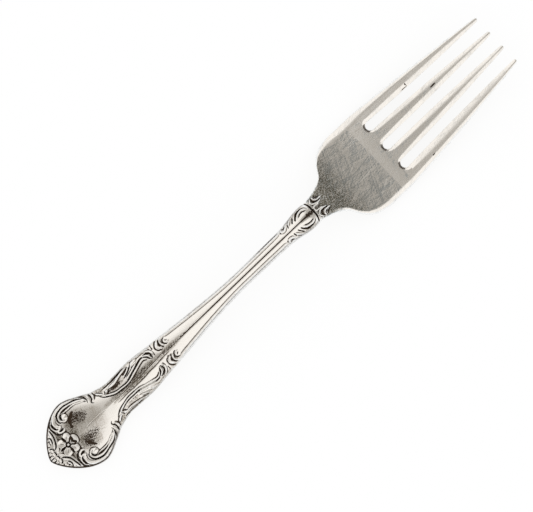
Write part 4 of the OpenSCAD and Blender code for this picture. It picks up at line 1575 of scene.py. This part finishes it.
@dataclass(frozen=True)
class SilverFinish:
    """Worn plated silver: scratched, filmed over and dark in its crevices, with painted shade along the
    handle's rim taken from the mesh layers.
    """

    name: str
    metal: Colour = (0.975, 0.985, 0.985, 1)
    dull: Colour = (0.59, 0.56, 0.52, 1)
    film: Colour = (0.165, 0.147, 0.113, 1)
    tarnish: Colour = (0.058, 0.042, 0.03, 1)
    roughness: float = 0.2
    scratch: float = 0.3
    dullness: float = 0.2
    mottle: float = 1.0
    speckle: float = 0.85
    scratch_turns: tuple[float, ...] = (8.0, -22.0, 64.0)
    stroke: tuple[float, float, float] = (0.0026, 0.00014, 0.0026)
    lane_shift: Span = (0.37, 0.73)
    dull_lines: Span = (0.78, 0.98)
    bright_lines: Span = (0.82, 0.98)
    cloud: Noise = Noise(220.0, 4.0, 0.6)
    grain: Noise = Noise(2600.0, 3.0, 0.7)
    fleck: Noise = Noise(5000.0, 3.0, 0.65)
    dirt_and_shade_ragged: float = 0.4
    dirt_and_shade_step: Span = (0.3, 0.66)
    stain_ragged: float = 2.2
    stain_from: Span = (0.0, 0.25)
    stain_step: Span = (0.36, 0.6)
    worn_step: Span = (0.35, 0.7)
    worn_share: float = 0.3
    haze_step: Span = (0.42, 0.58)
    haze_mean: float = 0.8
    pit_step: Span = (0.56, 0.66)
    used_step: Span = (0.0, 0.15)
    scuff_step: Span = (0.02, 0.1)
    polish: float = 0.1
    worn_rough: float = 0.06
    scratch_rough: float = 0.05
    dark_rough: float = 0.3
    grain_share: float = 0.2
    bump: float = 0.15
    bump_depth: float = 0.00002

    def _scratches(self, shader: Shader, place: Socket) -> Value:
        """Fine straight scratches that lie in a few directions.

        Args:
            shader: The material's tree.
            place: Object coordinates.
        Returns:
            Above 0 on dull scratches, below 0 on bright ones.
        """
        lines = []
        for k, turn in enumerate(self.scratch_turns):
            lane = shader.node("ShaderNodeMapping", {"vector_type": "TEXTURE"}, {
                "Vector": place, "Rotation": (0, 0, math.radians(turn)), "Scale": self.stroke,
                "Location": (*(shift * k for shift in self.lane_shift), 0),
            })
            sockets = {"Vector": lane.outputs[0], "Scale": 1.0}
            strokes = shader.node("ShaderNodeTexVoronoi", {"feature": "F1"}, sockets)
            tint = shader.value("ShaderNodeSeparateColor", "Red", None, {0: strokes.outputs["Color"]})
            lines.append(tint.step(*self.dull_lines) - (1 - tint).step(*self.bright_lines))
        return sum(lines[1:], lines[0])

    def _wear(self, film_and_rim_shade: Value, span: Span) -> Value:
        """Share of the wear that shows: all of it under film, and only a little on polished metal."""
        return film_and_rim_shade.step(*span) * (1 - self.polish) + self.polish

    def material(self) -> bpy.types.Material:
        """Makes the material.

        Returns:
            The material.
        """
        material = bpy.data.materials.new(self.name)
        material.use_nodes = True
        shader = Shader(material.node_tree)
        place = shader.node("ShaderNodeTexCoord").outputs["Object"]
        crevice_and_rim_shade, stain, film_and_rim_shade = (
            shader.value("ShaderNodeAttribute", "Fac", {"attribute_name": label}) for label in LAYERS
        )
        cloud, grain, fleck = (noise.value(shader, place) for noise in (self.cloud, self.grain, self.fleck))
        scratches = self._scratches(shader, place)
        uneven = fleck - NOISE_MEAN
        # The crevice layer also carries the painted shade line along the handle's rim, so this darkening is
        # partly dirt and partly painted shade; the film layer likewise carries the painted shade band at the
        # rim.
        dirt = (crevice_and_rim_shade + uneven * self.dirt_and_shade_ragged).step(*self.dirt_and_shade_step)
        ragged = uneven * self.stain_ragged * stain.step(*self.stain_from)
        dark = dirt.most((stain + ragged).step(*self.stain_step))
        worn = cloud.step(*self.worn_step)
        speckles = (fleck.step(*self.haze_step) - NOISE_MEAN) * self.speckle + self.haze_mean
        used, scuffed = self._wear(film_and_rim_shade, self.used_step), self._wear(film_and_rim_shade, self.scuff_step)
        pits = fleck.step(*self.pit_step) * self.mottle
        clouded = self.dullness + (worn - NOISE_MEAN) * self.worn_share
        share = clouded * used + (scratches * self.scratch + pits) * scuffed
        colour = shader.mix(share.clamp(), self.metal, self.dull)
        colour = shader.mix((film_and_rim_shade * speckles).clamp(), colour, self.film)
        colour = shader.mix(dark, colour, self.tarnish)
        roughness = self.roughness + worn * self.worn_rough
        roughness = roughness + scratches * (self.scratch_rough * self.scratch) + dark * self.dark_rough
        relief = (grain * self.grain_share - scratches * self.scratch) * scuffed
        sockets = {"Strength": self.bump, "Distance": self.bump_depth, "Height": relief}
        bump = shader.node("ShaderNodeBump", None, sockets)
        surface = shader.node("ShaderNodeBsdfPrincipled", None, {
            "Base Color": colour, "Metallic": 1.0, "Roughness": roughness.clamp(), "Normal": bump.outputs[0],
        })
        shader.node("ShaderNodeOutputMaterial", None, {"Surface": surface.outputs[0]})
        return material


@dataclass
class Studio:
    """White table and tent with a grey panel overhead, and the camera."""

    lean_along: float = 0.7
    lean_across: float = 4.2
    turn: float = 43.25
    aim: tuple[float, float, float] = (-1.35, 0.12, 4.0)
    view_w: float = 93.6
    lens: float = 150.0
    sensor: float = 36.0
    clip: Span = (0.01, 20)
    floor_half: float = 3.0
    panel: Colour = (0.43, 0.397, 0.353, 1)
    wall: Colour = (0.99, 0.932, 0.867, 1)
    flag: Colour = (0.42, 0.4, 0.37, 1)
    backdrop: Colour = (1.0, 1.0, 1.0, 1)
    # Colour of the painted shadow on the glowing table.
    shade: Colour = (0.91, 0.905, 0.895, 1)
    table: Colour = (0.9, 0.9, 0.9, 1)
    shadow_reach: float = 0.02
    shadow_samples: int = 12
    least_height: float = 0.02
    panel_start: Span = (-0.85, -0.45)
    panel_low: Span = (0.1, 0.18)
    panel_right: Span = (-0.22, -0.08)
    panel_left: Span = (0.42, 0.62)
    panel_spread: float = 0.6
    flag_out: Span = (0.25, 0.75)
    flag_low: Span = (0.3, 0.5)
    horizon: Span = (0.03, 0.1)
    horizon_shade: float = 0.2

    def camera(self) -> None:
        """Sets the camera at the photograph's viewing angle."""
        lean = [math.tan(math.radians(a)) for a in (self.lean_along, self.lean_across)]
        back = Vector((-lean[0], -lean[1], 1)).normalized()
        turn = math.radians(self.turn)
        up = Vector((math.sin(turn), math.cos(turn), 0))
        up = (up - up.dot(back) * back).normalized()
        data = bpy.data.cameras.new("camera")
        data.lens, data.sensor_width, data.sensor_fit = self.lens, self.sensor, "HORIZONTAL"
        data.clip_start, data.clip_end = self.clip
        eye = put_in_scene("camera", data)
        reach = self.view_w * MM * self.lens / self.sensor
        eye.location = Vector(self.aim) * MM + back * reach
        eye.rotation_euler = Matrix((up.cross(back), up, back)).transposed().to_euler()
        bpy.context.scene.camera = eye

    def floor(self) -> None:
        """Lays the white table; to the camera and in reflections it glows white, with a painted soft shadow
        that an occlusion node lays near the fork.
        """
        h = self.floor_half
        mesh = bpy.data.meshes.new("floor")
        mesh.from_pydata([(-h, -h, 0), (h, -h, 0), (h, h, 0), (-h, h, 0)], [], [(0, 1, 2, 3)])
        floor = put_in_scene("floor", mesh)
        material = bpy.data.materials.new("white_table")
        material.use_nodes = True
        shader = Shader(material.node_tree)
        path = shader.node("ShaderNodeLightPath").outputs
        seen = Value(shader, path["Is Camera Ray"]) + Value(shader, path["Is Glossy Ray"])
        seen = (seen + Value(shader, path["Is Transmission Ray"])).clamp()
        card = shader.node("ShaderNodeBsdfDiffuse", None, {"Color": self.table})
        settings, sockets = {"samples": self.shadow_samples}, {"Distance": self.shadow_reach}
        # Painted shadow: the occlusion node darkens the glowing table towards the shade colour near the
        # fork.
        open_sky = shader.value("ShaderNodeAmbientOcclusion", "AO", settings, sockets)
        colour = shader.mix(open_sky, self.shade, self.backdrop)
        white_with_painted_shadow = shader.node("ShaderNodeEmission", None, {"Color": colour, "Strength": 1.0})
        both = shader.node("ShaderNodeMixShader", None, {0: seen, 1: card.outputs[0], 2: white_with_painted_shadow.outputs[0]})
        shader.node("ShaderNodeOutputMaterial", None, {"Surface": both.outputs[0]})
        mesh.materials.append(material)
        floor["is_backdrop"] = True

    def tent(self) -> None:
        """Lights the scene with white walls, darker ends and a grey panel overhead."""
        world = bpy.data.worlds.new("tent")
        bpy.context.scene.world = world
        world.use_nodes = True
        shader = Shader(world.node_tree)
        way = shader.node("ShaderNodeTexCoord").outputs["Generated"]
        axes = shader.node("ShaderNodeSeparateXYZ", None, {0: way}).outputs
        x, y, z = (Value(shader, axes[k]) for k in range(3))
        height = z.most(self.least_height)
        along, across = x / height, y / height
        spread = along.most(0.0) * self.panel_spread
        over = along.step(*self.panel_start) * z.step(*self.panel_low)
        over = over * (across + spread).step(*self.panel_right)
        over = over * (1 - (across - spread).step(*self.panel_left))
        ends = (x * x).step(*self.flag_out) * z.step(*self.flag_low)
        ends = ends.most((1 - z.step(*self.horizon)) * self.horizon_shade)
        colour = shader.mix(ends, self.wall, self.flag)
        colour = shader.mix(over, colour, self.panel)
        seen = shader.node("ShaderNodeLightPath").outputs["Is Camera Ray"]
        colour = shader.mix(Value(shader, seen), colour, self.backdrop)
        back = shader.node("ShaderNodeBackground", None, {"Color": colour, "Strength": 1.0})
        shader.node("ShaderNodeOutputWorld", None, {"Surface": back.outputs[0]})

    def build(self) -> None:
        """Builds floor, light and camera."""
        self.camera()
        self.floor()
        self.tent()
        bpy.context.scene.view_settings.view_transform = "Standard"


@dataclass
class Fork:
    """The whole fork: the struck handle, the palm and the tines."""

    blank: Blank
    tine_wear: Points = ((0.0, 1.75), (0.045, 1.35), (0.05, 1.28), (0.03, 1.28))
    handle_finish: SilverFinish = SilverFinish("struck_silver")
    head_finish: SilverFinish = SilverFinish(
        "scratched_silver",
        metal=(0.97, 0.977, 0.975, 1),
        dull=(0.51, 0.55, 0.575, 1),
        film=(0.13, 0.123, 0.09, 1),
        roughness=0.24,
        scratch=1.4,
        dullness=0.27,
        mottle=0.42,
        speckle=0.95,
        scratch_turns=(7.0, -14.0, 31.0, 66.0),
        stroke=(0.0026, 0.00011, 0.0026),
    )

    def relief(self) -> Relief:
        """Gathers the ornament and the wear."""
        kinds = (TipOrnament, RimScroll, LeafPanel, StemMoulding, NeckOrnament)
        return Relief((*(kind(self.blank) for kind in kinds), Wear()))

    def parts(self) -> list[HandleZone | Tine]:
        """The pieces from the handle's tip to the tines, with the nodes that each stands for.

        Returns:
            The stretches behind the slots and the tines.
        """
        b, relief = self.blank, self.relief()

        def sides(*names: str) -> tuple[str, ...]:
            """Left and right node of each name."""
            return tuple(f"{n}_{side.value}" for n in names for side in Side)

        tip = ("terminal", "tip_shell", "flower_petals", "flower_centre")
        tip += sides("tip_leaf", "flower_leaf", "rim_scroll", "scroll_eye", "scroll_binding")
        leaf = ("leaf_shank",) + sides("leaf_panel")
        stem = ("stem", "stem_spine") + sides("mid_scroll", "stem_bead")
        neck = ("neck", "collar_band") + sides("neck_leaf")
        palm = ("palm", "shoulder_tongue") + sides("shoulder_scroll")
        zones = (
            ("terminal_struck", 0, b.leaf_start, 250, 241, 29, tip, Slot.HANDLE),
            ("leaf_shank_struck", b.leaf_start, b.stem_start, 220, 141, 21, leaf, Slot.HANDLE),
            ("stem_moulded", b.stem_start, b.neck_start, 330, 71, 17, stem, Slot.HANDLE),
            ("neck_struck", b.neck_start, b.collar, 130, 101, 17, neck, Slot.HANDLE),
            ("palm_dished", b.collar, b.slot_root, 260, 201, 41, palm, Slot.HEAD),
        )
        tines = [Tine(b, relief, index, *wear) for index, wear in enumerate(self.tine_wear)]
        return [HandleZone(b, relief, *zone) for zone in zones] + tines

    def build(self) -> None:
        """Builds and dresses every piece."""
        finishes = {Slot.HANDLE: self.handle_finish.material(), Slot.HEAD: self.head_finish.material()}
        for part in self.parts():
            piece = part.skin().build()
            piece.data.materials.append(finishes[part.slot])
            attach(piece, "root")
            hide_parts(*part.nodes)
            LOG.info("%s: %d faces", piece.name, len(piece.data.polygons))


def plain(box: Any) -> list[list[float]]:
    """A box as plain lists of numbers."""
    return [[float(c) for c in corner] for corner in box]


def main() -> None:
    """Builds the fork and the studio, and works out the two boxes."""
    logging.basicConfig(level=logging.INFO, format="%(name)s: %(message)s")
    Studio().build()
    Fork(Blank.from_frame()).build()
    {"cad": plain(CAD_BOX), "visual": plain(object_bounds())}


if __name__ == "__main__":
    main()
